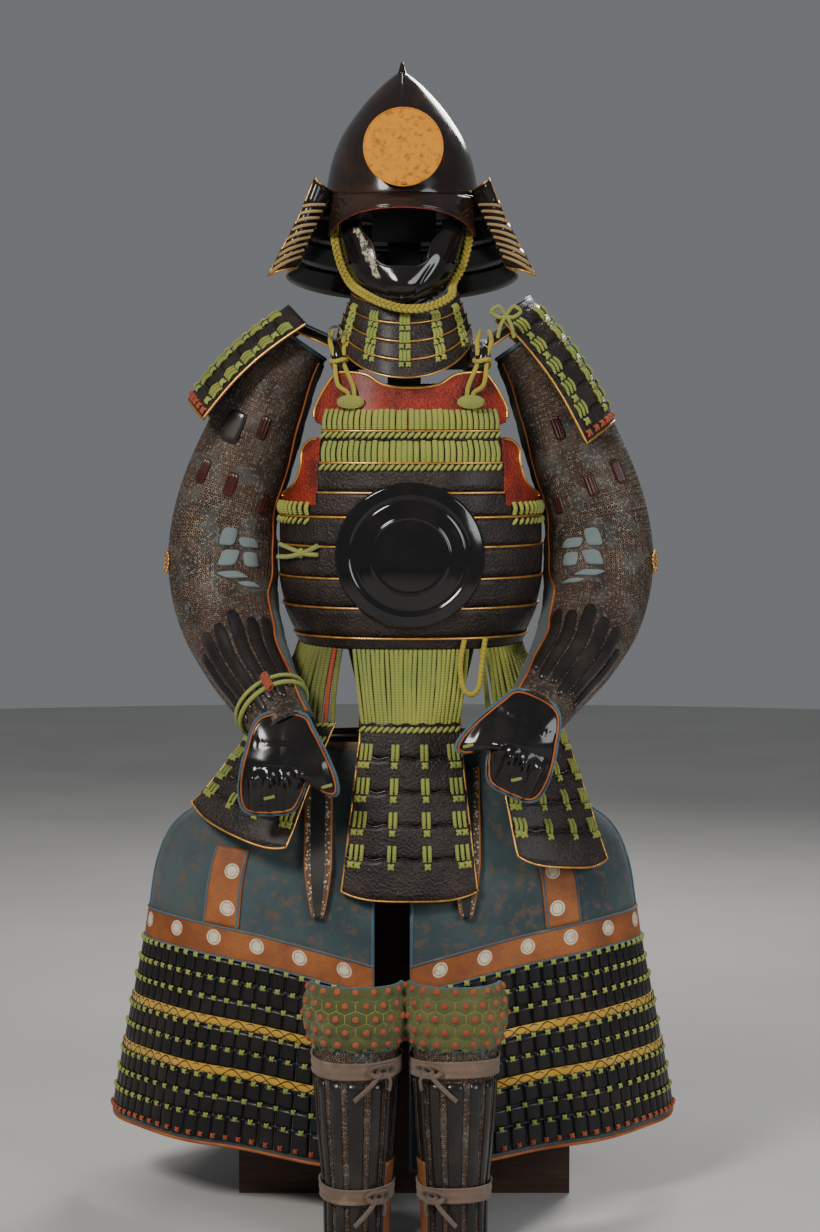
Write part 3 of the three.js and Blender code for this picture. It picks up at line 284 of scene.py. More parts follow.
def wall_data(at, across, along, thick, lift=0.0, relief=None, around=False, inside=(0, 0, 0), keep=None,
              poles=()):
    """Points, faces and corner UVs (in metres) of a thin wall over the surface at(s, t).

    A row in poles, first 0 or last -1, is drawn together to one point.
    """
    grid = np.array([[at(s, t) for s in across] for t in along])
    if around:
        left, right = np.roll(grid, 1, axis=1), np.roll(grid, -1, axis=1)
        ds = right - left
    else:
        ds = np.gradient(grid, axis=1)
    dt = np.gradient(grid, axis=0)
    normal = np.cross(ds, dt)
    normal /= np.maximum(np.linalg.norm(normal, axis=2, keepdims=True), 1e-9)
    r, c = len(along) // 2, len(across) // 2
    if np.dot(normal[r, c], grid[r, c] - np.asarray(inside)) < 0:
        normal = -normal
    height = np.array([[lift + thick + (relief(s, t) if relief else 0) for s in across] for t in along])
    outer = grid + normal * height[..., None]
    inner = grid + normal * lift
    for pole in poles:
        outer[pole] = outer[pole].mean(axis=0)
        inner[pole] = inner[pole].mean(axis=0)
    count_t, count_s = len(along), len(across)
    points = np.concatenate([outer.reshape(-1, 3), inner.reshape(-1, 3)])
    half = count_t * count_s
    us = np.concatenate([[0], np.cumsum(np.linalg.norm(np.diff(grid[r], axis=0), axis=1))]) * MM
    vs = np.concatenate([[0], np.cumsum(np.linalg.norm(np.diff(grid[:, c], axis=0), axis=1))]) * MM
    us = list(us) + [us[-1] + np.linalg.norm(grid[r, 0] - grid[r, -1]) * MM]
    faces, uvs = [], []
    kept = set()
    spans = count_s if around else count_s - 1
    turned = np.dot(np.cross(ds[r, c], dt[r, c]), normal[r, c]) < 0
    for j in range(count_t - 1):
        for i in range(spans):
            if keep and not keep(lerp(across[i], across[(i + 1) % count_s] if i + 1 < count_s else 1, 0.5),
                                 lerp(along[j], along[j + 1], 0.5)):
                continue
            kept.add((i, j))
    for i, j in sorted(kept):
        n = (i + 1) % count_s
        a, b, c2, d = j * count_s + i, j * count_s + n, (j + 1) * count_s + n, (j + 1) * count_s + i
        quad_uv = [(us[i], vs[j]), (us[i + 1], vs[j]), (us[i + 1], vs[j + 1]), (us[i], vs[j + 1])]
        sides = [(a, b, c2, d, quad_uv), (a + half, d + half, c2 + half, b + half,
                                          [quad_uv[0], quad_uv[3], quad_uv[2], quad_uv[1]])]
        if (i, j - 1) not in kept:
            sides.append((b, a, a + half, b + half, [quad_uv[1], quad_uv[0], quad_uv[0], quad_uv[1]]))
        if (i, j + 1) not in kept:
            sides.append((d, c2, c2 + half, d + half, [quad_uv[3], quad_uv[2], quad_uv[2], quad_uv[3]]))
        before = ((i - 1) % spans if around else i - 1, j)
        after = ((i + 1) % spans if around else i + 1, j)
        if before not in kept:
            sides.append((a, d, d + half, a + half, [quad_uv[0], quad_uv[3], quad_uv[3], quad_uv[0]]))
        if after not in kept:
            sides.append((c2, b, b + half, c2 + half, [quad_uv[2], quad_uv[1], quad_uv[1], quad_uv[2]]))
        for *corners, uv in sides:
            if turned:
                corners, uv = corners[::-1], uv[::-1]
            faces.append(tuple(int(v) for v in corners))
            uvs.extend(uv)
    return points, faces, uvs


def wall(name, material, *args, body="root", smooth=True, **options):
    points, faces, uvs = wall_data(*args, **options)
    obj = mesh_object(name, points, faces, material, uvs, smooth, body)
    if options.get("poles"):
        weld(obj.data)
    return obj


def weld(mesh):
    """Make one point of the points that lie together at a pole."""
    made = bmesh.new()
    made.from_mesh(mesh)
    bmesh.ops.remove_doubles(made, verts=made.verts, dist=1e-7)
    made.to_mesh(mesh)
    made.free()
    mesh.update()


def walls(name, material, parts):
    """Several walls as one mesh; each part is the arguments of one wall."""
    points, faces, uvs = [], [], []
    for args, options in parts:
        p, f, u = wall_data(*args, **options)
        start = sum(len(x) for x in points)
        points.append(p)
        faces.extend(tuple(v + start for v in face) for face in f)
        uvs.extend(u)
    return mesh_object(name, np.concatenate(points), faces, material, uvs, True)


# Geometry Nodes that make what repeats
def new_tree(name, inputs):
    tree = bpy.data.node_groups.new(name, "GeometryNodeTree")
    face = tree.interface
    face.new_socket("Geometry", in_out="INPUT", socket_type="NodeSocketGeometry")
    for label, kind, default in inputs:
        socket = face.new_socket(label, in_out="INPUT", socket_type=kind)
        if default is not None:
            socket.default_value = default
    face.new_socket("Geometry", in_out="OUTPUT", socket_type="NodeSocketGeometry")
    return tree, tree.nodes.new("NodeGroupInput"), tree.nodes.new("NodeGroupOutput")


def join(tree, *pairs):
    for source, target in pairs:
        tree.links.new(source, target)


def lace_tree():
    """Every edge path of the mesh becomes a round lace with a UV map along its length."""
    tree, start, end = new_tree("Laces", [("Radius", "NodeSocketFloat", 0.003),
                                          ("Sides", "NodeSocketInt", 8),
                                          ("Flatness", "NodeSocketFloat", 1.0),
                                          ("Finish", "NodeSocketMaterial", None)])
    add = tree.nodes.new
    curve = add("GeometryNodeMeshToCurve")
    along = add("GeometryNodeCaptureAttribute")
    along.capture_items.new("FLOAT", "Length")
    place = add("GeometryNodeSplineParameter")
    ring = add("GeometryNodeCurvePrimitiveCircle")
    round_it = add("GeometryNodeCaptureAttribute")
    round_it.capture_items.new("FLOAT", "Turn")
    squash = add("GeometryNodeTransform")
    flat = add("ShaderNodeCombineXYZ")
    flat.inputs["X"].default_value = 1
    flat.inputs["Z"].default_value = 1
    sweep = add("GeometryNodeCurveToMesh")
    sweep.inputs["Fill Caps"].default_value = True
    uv = add("ShaderNodeCombineXYZ")
    store = add("GeometryNodeStoreNamedAttribute")
    store.data_type = "FLOAT2"
    store.domain = "CORNER"
    store.inputs["Name"].default_value = "UVMap"
    smooth = add("GeometryNodeSetShadeSmooth")
    realize = add("GeometryNodeRealizeInstances")
    finish = add("GeometryNodeSetMaterial")
    join(tree, (start.outputs["Geometry"], curve.inputs[0]),
         (curve.outputs[0], along.inputs["Geometry"]), (place.outputs["Length"], along.inputs["Length"]),
         (start.outputs["Radius"], ring.inputs["Radius"]),
         (start.outputs["Sides"], ring.inputs["Resolution"]),
         (start.outputs["Flatness"], flat.inputs["Y"]), (flat.outputs[0], squash.inputs["Scale"]),
         (ring.outputs[0], squash.inputs["Geometry"]), (squash.outputs[0], round_it.inputs["Geometry"]),
         (place.outputs["Factor"], round_it.inputs["Turn"]),
         (along.outputs["Geometry"], sweep.inputs["Curve"]),
         (round_it.outputs["Geometry"], sweep.inputs["Profile Curve"]),
         (along.outputs["Length"], uv.inputs["X"]), (round_it.outputs["Turn"], uv.inputs["Y"]),
         (sweep.outputs[0], store.inputs["Geometry"]), (uv.outputs[0], store.inputs["Value"]),
         (store.outputs[0], smooth.inputs["Geometry"]), (smooth.outputs[0], realize.inputs["Geometry"]),
         (realize.outputs[0], finish.inputs["Geometry"]),
         (start.outputs["Finish"], finish.inputs["Material"]),
         (finish.outputs[0], end.inputs["Geometry"]))
    return tree


def knot_tree():
    """One copy of the knot on every point, turned by the point's facing and upward directions."""
    tree, start, end = new_tree("Knots", [("Knot", "NodeSocketObject", None),
                                          ("Spread", "NodeSocketFloat", 0.1),
                                          ("Seed", "NodeSocketInt", 3),
                                          ("Finish", "NodeSocketMaterial", None)])
    add = tree.nodes.new
    shape = add("GeometryNodeObjectInfo")
    facing = add("GeometryNodeInputNamedAttribute")
    facing.data_type = "FLOAT_VECTOR"
    facing.inputs["Name"].default_value = "facing"
    upward = add("GeometryNodeInputNamedAttribute")
    upward.data_type = "FLOAT_VECTOR"
    upward.inputs["Name"].default_value = "upward"
    turn = add("FunctionNodeAxesToRotation")
    turn.primary_axis = "Z"
    turn.secondary_axis = "Y"
    size = add("FunctionNodeRandomValue")
    size.data_type = "FLOAT"
    low = add("ShaderNodeMath")
    low.operation = "SUBTRACT"
    low.inputs[0].default_value = 1
    high = add("ShaderNodeMath")
    high.operation = "ADD"
    high.inputs[0].default_value = 1
    copy = add("GeometryNodeInstanceOnPoints")
    realize = add("GeometryNodeRealizeInstances")
    finish = add("GeometryNodeSetMaterial")
    join(tree, (start.outputs["Knot"], shape.inputs["Object"]),
         (facing.outputs["Attribute"], turn.inputs["Primary Axis"]),
         (upward.outputs["Attribute"], turn.inputs["Secondary Axis"]),
         (start.outputs["Spread"], low.inputs[1]), (start.outputs["Spread"], high.inputs[1]),
         (low.outputs[0], size.inputs[2]), (high.outputs[0], size.inputs[3]),
         (start.outputs["Seed"], size.inputs["Seed"]),
         (start.outputs["Geometry"], copy.inputs["Points"]),
         (shape.outputs["Geometry"], copy.inputs["Instance"]),
         (turn.outputs[0], copy.inputs["Rotation"]), (size.outputs[1], copy.inputs["Scale"]),
         (copy.outputs[0], realize.inputs["Geometry"]), (realize.outputs[0], finish.inputs["Geometry"]),
         (start.outputs["Finish"], finish.inputs["Material"]), (finish.outputs[0], end.inputs["Geometry"]))
    return tree


def tree_named(name, maker):
    return bpy.data.node_groups.get(name) or maker()


def grown(name, mesh, tree, values, body="root"):
    """The plain mesh that a node tree makes from a starting mesh."""
    seed = bpy.data.objects.new(name + "_seed", mesh)
    bpy.context.collection.objects.link(seed)
    modifier = seed.modifiers.new("Grow", "NODES")
    modifier.node_group = tree
    for item in tree.interface.items_tree:
        if item.in_out == "INPUT" and item.name in values:
            modifier[item.identifier] = values[item.name]
    depsgraph = bpy.context.evaluated_depsgraph_get()
    depsgraph.update()
    made = bpy.data.meshes.new_from_object(seed.evaluated_get(depsgraph))
    made.name = name
    bpy.data.objects.remove(seed)
    if not made.polygons:
        raise RuntimeError(f"{name}: the node tree made no faces")
    obj = link(name, made, None, body)
    return obj


def laces(name, paths, radius, material, sides=8, flatness=1.0):
    """Laces along lists of points in millimetres, rounded off at both ends by their caps."""
    points, edges = [], []
    for path in paths:
        start = len(points)
        points.extend((np.asarray(p) + SHIFT) * MM for p in path)
        edges.extend((start + i, start + i + 1) for i in range(len(path) - 1))
    mesh = bpy.data.meshes.new(name)
    mesh.from_pydata([tuple(p) for p in points], edges, [])
    return grown(name, mesh, tree_named("Laces", lace_tree),
                 {"Radius": radius * MM, "Sides": sides, "Flatness": flatness, "Finish": material}, "root")


def knots(name, spots, shape, material, spread=0.08):
    """Copies of a knot on spots of (point, facing, upward); the knot's own object goes afterwards."""
    mesh = bpy.data.meshes.new(name)
    mesh.from_pydata([tuple((np.asarray(p) + SHIFT) * MM) for p, _, _ in spots], [], [])
    for label, column in (("facing", 1), ("upward", 2)):
        layer = mesh.attributes.new(label, "FLOAT_VECTOR", "POINT")
        layer.data.foreach_set("vector", np.array([s[column] for s in spots], dtype=float).ravel())
    seed = bpy.context.scene.armour_sizes.stitch_seed
    made = grown(name, mesh, tree_named("Knots", knot_tree),
                 {"Knot": shape, "Spread": spread, "Seed": seed, "Finish": material}, "root")
    bpy.data.objects.remove(shape)
    return made


def smooth_path(points, count):
    """A Catmull-Rom line of count steps through a few points."""
    p = np.array([points[0], *points, points[-1]], dtype=float)
    line = []
    for k in range(count + 1):
        u = k / count * (len(points) - 1)
        i = min(int(u), len(points) - 2)
        f = u - i
        a, b, c, d = p[i], p[i + 1], p[i + 2], p[i + 3]
        line.append(0.5 * (2 * b + (c - a) * f + (2 * a - 5 * b + 4 * c - d) * f**2
                           + (3 * b - a - 3 * c + d) * f**3))
    return line


def plait(path, wide, deep, pitch):
    """Three strands that cross each other along a line of points in millimetres."""
    line = np.array(path, dtype=float)
    along = np.concatenate([[0], np.cumsum(np.linalg.norm(np.diff(line, axis=0), axis=1))])
    count = int(along[-1] / pitch * 10)
    marks = np.linspace(0, along[-1], count + 1)
    dense = np.column_stack([np.interp(marks, along, line[:, k]) for k in range(3)])
    ahead = np.gradient(dense, axis=0)
    ahead /= np.linalg.norm(ahead, axis=1, keepdims=True)
    across = np.cross(ahead, np.array([0.0, -1.0, 0.0]))
    across /= np.maximum(np.linalg.norm(across, axis=1, keepdims=True), 1e-6)
    up = np.cross(across, ahead)
    strands = []
    for k in range(3):
        phase = 2 * np.pi * (marks / pitch + k / 3)
        strands.append(list(dense + across * (wide * np.sin(phase))[:,
                None] + up * (deep * np.sin(2 * phase))[:, None]))
    return strands


# Materials
class Finish:
    """A short way to write a node material: each method adds one node and returns its output."""

    def __init__(self, name):
        self.material = bpy.data.materials.new(name)
        self.material.use_nodes = True
        self.tree = self.material.node_tree
        self.shader = self.tree.nodes["Principled BSDF"]
        self.place = self.tree.nodes.new("ShaderNodeTexCoord")
        self.object = self.place.outputs["Object"]
        self.uv = self.place.outputs["UV"]

    def feed(self, socket, value):
        if isinstance(value, bpy.types.NodeSocket):
            self.tree.links.new(value, socket)
        else:
            socket.default_value = value

    def noise(self, scale, detail=3.0, rough=0.55, where=None, stretch=None):
        node = self.tree.nodes.new("ShaderNodeTexNoise")
        self.feed(node.inputs["Vector"], self.mapped(where or self.object, stretch))
        node.inputs["Scale"].default_value = scale
        node.inputs["Detail"].default_value = detail
        node.inputs["Roughness"].default_value = rough
        return node.outputs["Fac"]

    def mapped(self, vector, stretch):
        if stretch is None:
            return vector
        node = self.tree.nodes.new("ShaderNodeMapping")
        self.feed(node.inputs["Vector"], vector)
        node.inputs["Scale"].default_value = stretch
        return node.outputs["Vector"]

    def cells(self, scale, kind="F1", where=None):
        node = self.tree.nodes.new("ShaderNodeTexVoronoi")
        node.feature = kind
        self.feed(node.inputs["Vector"], where or self.object)
        node.inputs["Scale"].default_value = scale
        return node.outputs["Distance"]

    def maths(self, operation, a, b=0.0, clamp=False):
        node = self.tree.nodes.new("ShaderNodeMath")
        node.operation = operation
        node.use_clamp = clamp
        self.feed(node.inputs[0], a)
        self.feed(node.inputs[1], b)
        return node.outputs[0]

    def ramp(self, value, low, high, to_low=0.0, to_high=1.0):
        node = self.tree.nodes.new("ShaderNodeMapRange")
        node.interpolation_type = "SMOOTHSTEP"
        self.feed(node.inputs["Value"], value)
        for label, number in zip(("From Min", "From Max", "To Min", "To Max"),
                                 (low, high, to_low, to_high)):
            node.inputs[label].default_value = number
        return node.outputs["Result"]

    def mix(self, share, a, b):
        node = self.tree.nodes.new("ShaderNodeMix")
        node.data_type = "RGBA"
        colours = [s for s in node.inputs if s.type == "RGBA"]
        self.feed(node.inputs[0], share)
        for socket, colour in zip(colours, (a, b)):
            self.feed(socket, (*colour, 1) if isinstance(colour, tuple) else colour)
        return next(s for s in node.outputs if s.type == "RGBA")

    def split(self, vector):
        node = self.tree.nodes.new("ShaderNodeSeparateXYZ")
        self.feed(node.inputs[0], vector)
        return node.outputs[0], node.outputs[1], node.outputs[2]

    def bump(self, height, strength, distance=0.001):
        node = self.tree.nodes.new("ShaderNodeBump")
        self.feed(node.inputs["Height"], height)
        node.inputs["Strength"].default_value = strength
        node.inputs["Distance"].default_value = distance
        self.tree.links.new(node.outputs[0], self.shader.inputs["Normal"])
        return self

    def surface(self, colour, rough, **others):
        self.feed(self.shader.inputs["Base Color"], (*colour, 1) if isinstance(colour, tuple) else colour)
        self.feed(self.shader.inputs["Roughness"], rough)
        for label, value in others.items():
            self.feed(self.shader.inputs[label.replace("_", " ")], value)
        return self

    def grid_mask(self, pitch, radius, soft, shift=0.0, pitch_v=None):
        """1 inside round dots of that radius, in units of the UV grid's pitch."""
        u, v, _ = self.split(self.uv)
        pitch_v = pitch_v or pitch
        squares = []
        for place, step in ((u, pitch), (v, pitch_v)):
            cell = self.maths("FRACT", self.maths("ADD", self.maths("DIVIDE", place, step), shift))
            away = self.maths("MULTIPLY", self.maths("SUBTRACT", cell, 0.5), step / pitch)
            squares.append(self.maths("MULTIPLY", away, away))
        reach = self.maths("SQRT", self.maths("ADD", *squares))
        return reach, self.ramp(reach, radius + soft, radius - soft)


def lacquer(name, colour, tint, rough=(0.1, 0.26), coat=0.25, dust=0.25):
    m = Finish(name)
    base = m.mix(m.ramp(m.noise(14), 0.45, 0.75), colour, tint)
    worn = m.mix(m.maths("MULTIPLY", m.ramp(m.noise(420, 4), 0.62, 0.78), dust), base, (0.12, 0.08, 0.06))
    m.surface(worn, m.ramp(m.noise(34), 0.3, 0.7, *rough), Coat_Weight=coat, Coat_Roughness=0.08,
              Specular_IOR_Level=0.32)
    return m.bump(m.noise(60, 2), 0.05, 0.002).material


def grained(name, colour, tint, cell=330, rough=(0.34, 0.55), strength=0.55):
    m = Finish(name)
    grain = m.maths("ADD", m.cells(cell, "SMOOTH_F1"), m.maths("MULTIPLY", m.noise(cell * 1.7, 3), 0.6))
    base = m.mix(m.ramp(m.noise(22, 4), 0.35, 0.7), colour, tint)
    pits = m.mix(m.maths("MULTIPLY", m.ramp(grain, 0.75, 0.35), 0.5), base, tuple(0.35 * c for c in colour))
    m.surface(pits, m.ramp(m.noise(90), 0.3, 0.7, *rough), Coat_Weight=0.12, Coat_Roughness=0.25,
              Specular_IOR_Level=0.35)
    return m.bump(grain, strength, 0.0022).material


def metal(name, colour, dark, rough=(0.24, 0.5), worn=(0.55, 0.72), metallic=0.9):
    m = Finish(name)
    tone = m.mix(m.ramp(m.noise(120, 5, 0.7), *worn), colour, dark)
    m.surface(tone, m.ramp(m.noise(60), 0.3, 0.7, *rough), Metallic=metallic)
    return m.bump(m.noise(500, 3), 0.12, 0.0006).material


def braid(name, colour, tint, pitch=0.0035):
    """Plaited cord: chevrons along the UV map's length."""
    m = Finish(name)
    u, v, _ = m.split(m.uv)
    side = m.maths("ABSOLUTE", m.maths("SUBTRACT", m.maths("FRACT", m.maths("MULTIPLY", v, 2)), 0.5))
    wave = m.maths("SINE", m.maths("MULTIPLY", m.maths("ADD", m.maths("DIVIDE", u, pitch), side),
                                   2 * math.pi))
    strands = m.ramp(wave, -1.0, 1.0)
    tone = m.mix(m.ramp(m.noise(9, 3), 0.35, 0.68), colour, tint)
    shaded = m.mix(m.maths("MULTIPLY", strands, 0.45), tuple(0.45 * c for c in colour), tone)
    fibre = m.mix(m.ramp(m.noise(900, 2), 0.3, 0.7, 0.0, 0.3), m.mix(0.75, shaded, tone), tint)
    m.surface(fibre, 0.85, Sheen_Weight=0.25)
    return m.bump(m.maths("ADD", strands, m.maths("MULTIPLY", m.noise(1500, 2), 0.4)), 0.8, 0.0007).material


def mail_cloth():
    """Small riveted rings on a blue lining, some rusted dark, with pale speckles on the rings as painted highlights.
    """
    m = Finish("iron mail on blue cloth")
    pitch = 0.0062
    reach, _ = m.grid_mask(pitch, 0.3, 0.05)
    ring = m.ramp(m.maths("ABSOLUTE", m.maths("SUBTRACT", reach, 0.31)), 0.17, 0.03)
    reach_b, _ = m.grid_mask(pitch, 0.3, 0.05, shift=0.5)
    link_ring = m.ramp(m.maths("ABSOLUTE", m.maths("SUBTRACT", reach_b, 0.14)), 0.18, 0.03)
    iron = m.maths("MAXIMUM", ring, link_ring)
    rust = m.mix(m.ramp(m.noise(24, 4), 0.35, 0.7), (0.22, 0.135, 0.09), (0.09, 0.06, 0.048))
    # Pale speckles on the rings are painted highlights; the two rust tones under them are the iron's own colour
    rust_and_glints = m.mix(m.ramp(m.noise(230, 2), 0.5, 0.66), rust, (0.42, 0.31, 0.22))
    lining = m.mix(m.ramp(m.noise(34, 4), 0.5, 0.64), (0.010, 0.009, 0.009), (0.07, 0.115, 0.12))
    m.surface(m.mix(iron, lining, rust_and_glints), m.ramp(iron, 0, 1, 0.9, 0.42),
              Metallic=m.maths("MULTIPLY", iron, 0.3))
    return m.bump(iron, 1.0, 0.002).material


def flaked_lacquer():
    """Black lacquer with a slanting flake on one cheek, where pale ground and grey primer show."""
    m = Finish("flaked black lacquer")
    x, _, z = m.split(m.object)
    line = m.maths("ADD", m.maths("MULTIPLY", m.maths("SUBTRACT", 1.30, z), 0.42), -0.034)
    away = m.maths("ABSOLUTE", m.maths("SUBTRACT", x, line))
    ragged = m.maths("ADD", away, m.maths("MULTIPLY", m.noise(95, 4, 0.7), 0.022))
    high = m.maths("ABSOLUTE", m.maths("SUBTRACT", z, 1.30))
    flake = m.maths("MULTIPLY", m.ramp(ragged, 0.0165, 0.0150), m.ramp(high, 0.036, 0.031))
    ground = m.mix(m.ramp(m.noise(150, 3), 0.46, 0.56), (0.52, 0.42, 0.27), (0.07, 0.08, 0.075))
    base = m.mix(m.ramp(m.noise(14), 0.45, 0.75), (0.010, 0.008, 0.008), (0.020, 0.014, 0.012))
    m.surface(m.mix(flake, base, ground), m.ramp(flake, 0, 1, 0.11, 0.8), Coat_Weight=0.4,
              Coat_Roughness=0.06,
              Specular_IOR_Level=0.35)
    return m.bump(m.maths("SUBTRACT", m.maths("MULTIPLY", m.noise(60, 2), 0.1), flake), 0.35,
                  0.0008).material


def woven(name, colour, tint, pale, thread=0.0016, strength=0.35, sheen=0.2, patch=26, worn=(0.54, 0.76)):
    """A plain weave on the UV map with faded places."""
    m = Finish(name)
    u, v, _ = m.split(m.uv)
    over = m.maths("SINE", m.maths("MULTIPLY", u, 2 * math.pi / thread))
    under = m.maths("SINE", m.maths("MULTIPLY", v, 2 * math.pi / thread))
    weave = m.maths("MULTIPLY", over, under)
    tone = m.mix(m.ramp(m.noise(7, 5, 0.6), 0.36, 0.66), colour, tint)
    faded = m.mix(m.ramp(m.noise(patch, 5, 0.65), *worn, 0.0, 0.75), tone, pale)
    threads = m.mix(m.ramp(weave, -1, 1, 0.0, 0.35), faded, tuple(0.5 * c for c in colour))
    m.surface(threads, 0.93, Sheen_Weight=sheen)
    return m.bump(m.maths("ADD", weave, m.noise(300, 3)), strength, 0.0008).material


def printed_leather(name, colour, dark, dot, pitch, radius):
    """Dyed leather with rows of plain pale spots, each with one thin dark ring."""
    m = Finish(name)
    reach, dots = m.grid_mask(pitch, radius, 0.012, pitch_v=0.05)
    thin_ring = m.ramp(m.maths("ABSOLUTE", m.maths("SUBTRACT", reach, radius * 0.74)), 0.016, 0.006)
    petals = m.ramp(m.cells(260, "F1", m.uv), 0.34, 0.24)
    leaf = m.maths("MULTIPLY", petals, m.ramp(reach, radius + 0.05, radius + 0.09))
    tone = m.mix(m.ramp(m.noise(18, 4), 0.35, 0.7), colour, dark)
    leaves = m.mix(m.maths("MULTIPLY", leaf, 0.6), tone, (0.10, 0.075, 0.05))
    rubbed = m.maths("MULTIPLY", dots, m.ramp(m.noise(160, 4), 0.3, 0.5, 0.55, 1.0))
    spots = m.mix(rubbed, leaves, dot)
    m.surface(m.mix(m.maths("MULTIPLY", thin_ring, 0.7), spots, dark), 0.62)
    return m.bump(m.noise(500, 3), 0.25, 0.0007).material


def bordered():
    """The hanging tongues: orange edge, band of pale blossoms, black middle, by the UV map's width."""
    m = Finish("tongue with printed border")
    u, _, _ = m.split(m.uv)
    side = m.maths("ABSOLUTE", m.maths("SUBTRACT", u, 0.019))
    flower = m.ramp(m.cells(230, "F1", m.uv), 0.42, 0.28)
    band = m.maths("MULTIPLY", m.ramp(side, 0.0095, 0.0105), m.ramp(side, 0.0175, 0.0165))
    black = m.mix(m.ramp(m.noise(20), 0.4, 0.7), (0.012, 0.011, 0.011), (0.03, 0.024, 0.02))
    printed = m.mix(m.maths("MULTIPLY", flower, 0.85), (0.10, 0.055, 0.028), (0.62, 0.55, 0.38))
    inner = m.mix(band, black, printed)
    m.surface(m.mix(m.ramp(side, 0.0168, 0.0176), inner, (0.42, 0.12, 0.025)), 0.6)
    return m.bump(m.noise(500, 3), 0.3, 0.0006).material


def boards():
    m = Finish("stained boards with painted shade on the post")
    grain = m.noise(9, 6, 0.65, stretch=(1.2, 1.2, 14))
    rings = m.noise(60, 3, 0.5, stretch=(1, 1, 16))
    tone = m.mix(m.ramp(grain, 0.3, 0.7), (0.030, 0.014, 0.008), (0.085, 0.038, 0.018))
    _, _, high = m.split(m.object)
    stained = m.mix(m.ramp(rings, 0.45, 0.7, 0, 0.5), tone, (0.018, 0.009, 0.006))
    # Above 1.0 m the boards go near black: painted shade on the post's head, which stands inside the helmet and mask
    m.surface(m.mix(m.ramp(high, 1.0, 1.15), stained, (0.006, 0.005, 0.005)),
              m.ramp(grain, 0.2, 0.8, 0.5, 0.72))
    return m.bump(rings, 0.3, 0.001).material


def make_finishes(sizes):
    lace, yellow = tuple(sizes.lacing_colour), tuple(sizes.cord_colour)
    lace_tint = (lace[0] * 0.62, lace[1] * 0.8, lace[2] * 0.9)
    return {
        "helmet": lacquer("brown helmet lacquer", (0.020, 0.012, 0.010), (0.052, 0.026, 0.016)),
        "black": lacquer("black lacquer", (0.010, 0.009, 0.009), (0.022, 0.017, 0.015)),
        "aged": lacquer("aged black lacquer", (0.016, 0.013, 0.012), (0.045, 0.032, 0.024), (0.2, 0.42),
                        0.4, 0.5),
        "hide": grained("grained dark hide", (0.020, 0.014, 0.012), (0.045, 0.030, 0.025), 300,
                        (0.32, 0.52), 0.9),
        "red": grained("stippled red hide", tuple(sizes.red_colour), (0.13, 0.012, 0.006), 330,
                       (0.26, 0.42), 1.0),
        "gold": metal("worn gilding", (0.83, 0.42, 0.10), (0.28, 0.12, 0.04)),
        "disc": metal("orange gilt disc", (0.74, 0.27, 0.001), (0.22, 0.07, 0.002), (0.45, 0.65),
                      (0.45, 0.76), 0.1),
        "iron": metal("dark iron", (0.16, 0.13, 0.12), (0.05, 0.035, 0.03), (0.3, 0.5)),
        "lace": braid("green silk lacing", lace, lace_tint),
        # A darker copy of the green lacing: painted shade for the skirts on the left and at the back
        "lace_painted_shade": braid("green silk lacing darkened for painted shade", tuple(0.62 * c for c in lace),
                           tuple(0.4 * c for c in lace_tint)),
        "cord": braid("yellow olive cord", yellow, tuple(0.7 * c for c in yellow), 0.006),
        "yellow": woven("gold silk band", (0.80, 0.47, 0.045), (0.62, 0.34, 0.03), (0.88, 0.62, 0.16),
                        0.0022, 0.5, 0.3),
        "pale_lace": braid("pale gold lacing", (0.62, 0.42, 0.17), (0.42, 0.24, 0.07)),
        "polished": lacquer("polished black lacquer", (0.007, 0.006, 0.006), (0.016, 0.011, 0.010),
                            (0.04, 0.12), 0.6,
                            0.1),
        "mask": flaked_lacquer(),
        "plate": lacquer("black plate lacquer", (0.009, 0.008, 0.008), (0.022, 0.016, 0.014), (0.3, 0.46),
                         0.08, 0.2),
        "orange_lace": braid("orange silk knots", (0.50, 0.10, 0.025), (0.36, 0.05, 0.015)),
        "mail": mail_cloth(),
        "cloth": woven("faded blue cloth", (0.038, 0.064, 0.071), (0.075, 0.115, 0.121),
                       (0.17, 0.10, 0.065), patch=70,
                       worn=(0.49, 0.66)),
        "pale_cloth": woven("pale blue cloth", (0.12, 0.165, 0.175), (0.22, 0.27, 0.265),
                            (0.32, 0.22, 0.16), patch=80),
        "edge": woven("blue edging", (0.055, 0.12, 0.17), (0.09, 0.17, 0.21), (0.28, 0.33, 0.33), 0.0012),
        "hemp": woven("brown hemp band", (0.20, 0.125, 0.085), (0.28, 0.185, 0.13), (0.38, 0.28, 0.2),
                      0.0035, 0.7),
        "quilt": woven("olive quilted cloth", (0.10, 0.115, 0.030), (0.17, 0.17, 0.05), (0.26, 0.23, 0.1),
                       0.0018, 0.5),
        "belt": printed_leather("orange printed leather", (0.38, 0.115, 0.022), (0.23, 0.06, 0.013),
                                (0.75, 0.66, 0.48),
                                0.062, 0.165),
        "orange": grained("orange leather trim", (0.48, 0.13, 0.025), (0.30, 0.075, 0.018), 600,
                          (0.5, 0.7), 0.2),
        "tan": grained("tan leather patch", (0.27, 0.10, 0.04), (0.17, 0.058, 0.024), 300, (0.5, 0.7), 0.4),
        "maroon": lacquer("maroon lacquered splints", (0.045, 0.012, 0.010), (0.09, 0.02, 0.015)),
        "tongue": bordered(),
        "wood": boards(),
    }


FINISHES = {}


def fill_finishes():
    FINISHES.clear()
    FINISHES.update(make_finishes(bpy.context.scene.armour_sizes))


def finish(name):
    return FINISHES[name]


def rim(name, path, radius, material, closed=False):
    points = [*path, path[0]] if closed else list(path)
    return laces(name, [points], radius, material)


# Surfaces with a lift, for lames and what is tied on them
def torso_surface(degrees, z, lift=0):
    angle = math.radians(degrees)
    return torso_point(degrees, z) + lift * np.array([math.sin(angle), -math.cos(angle), 0])


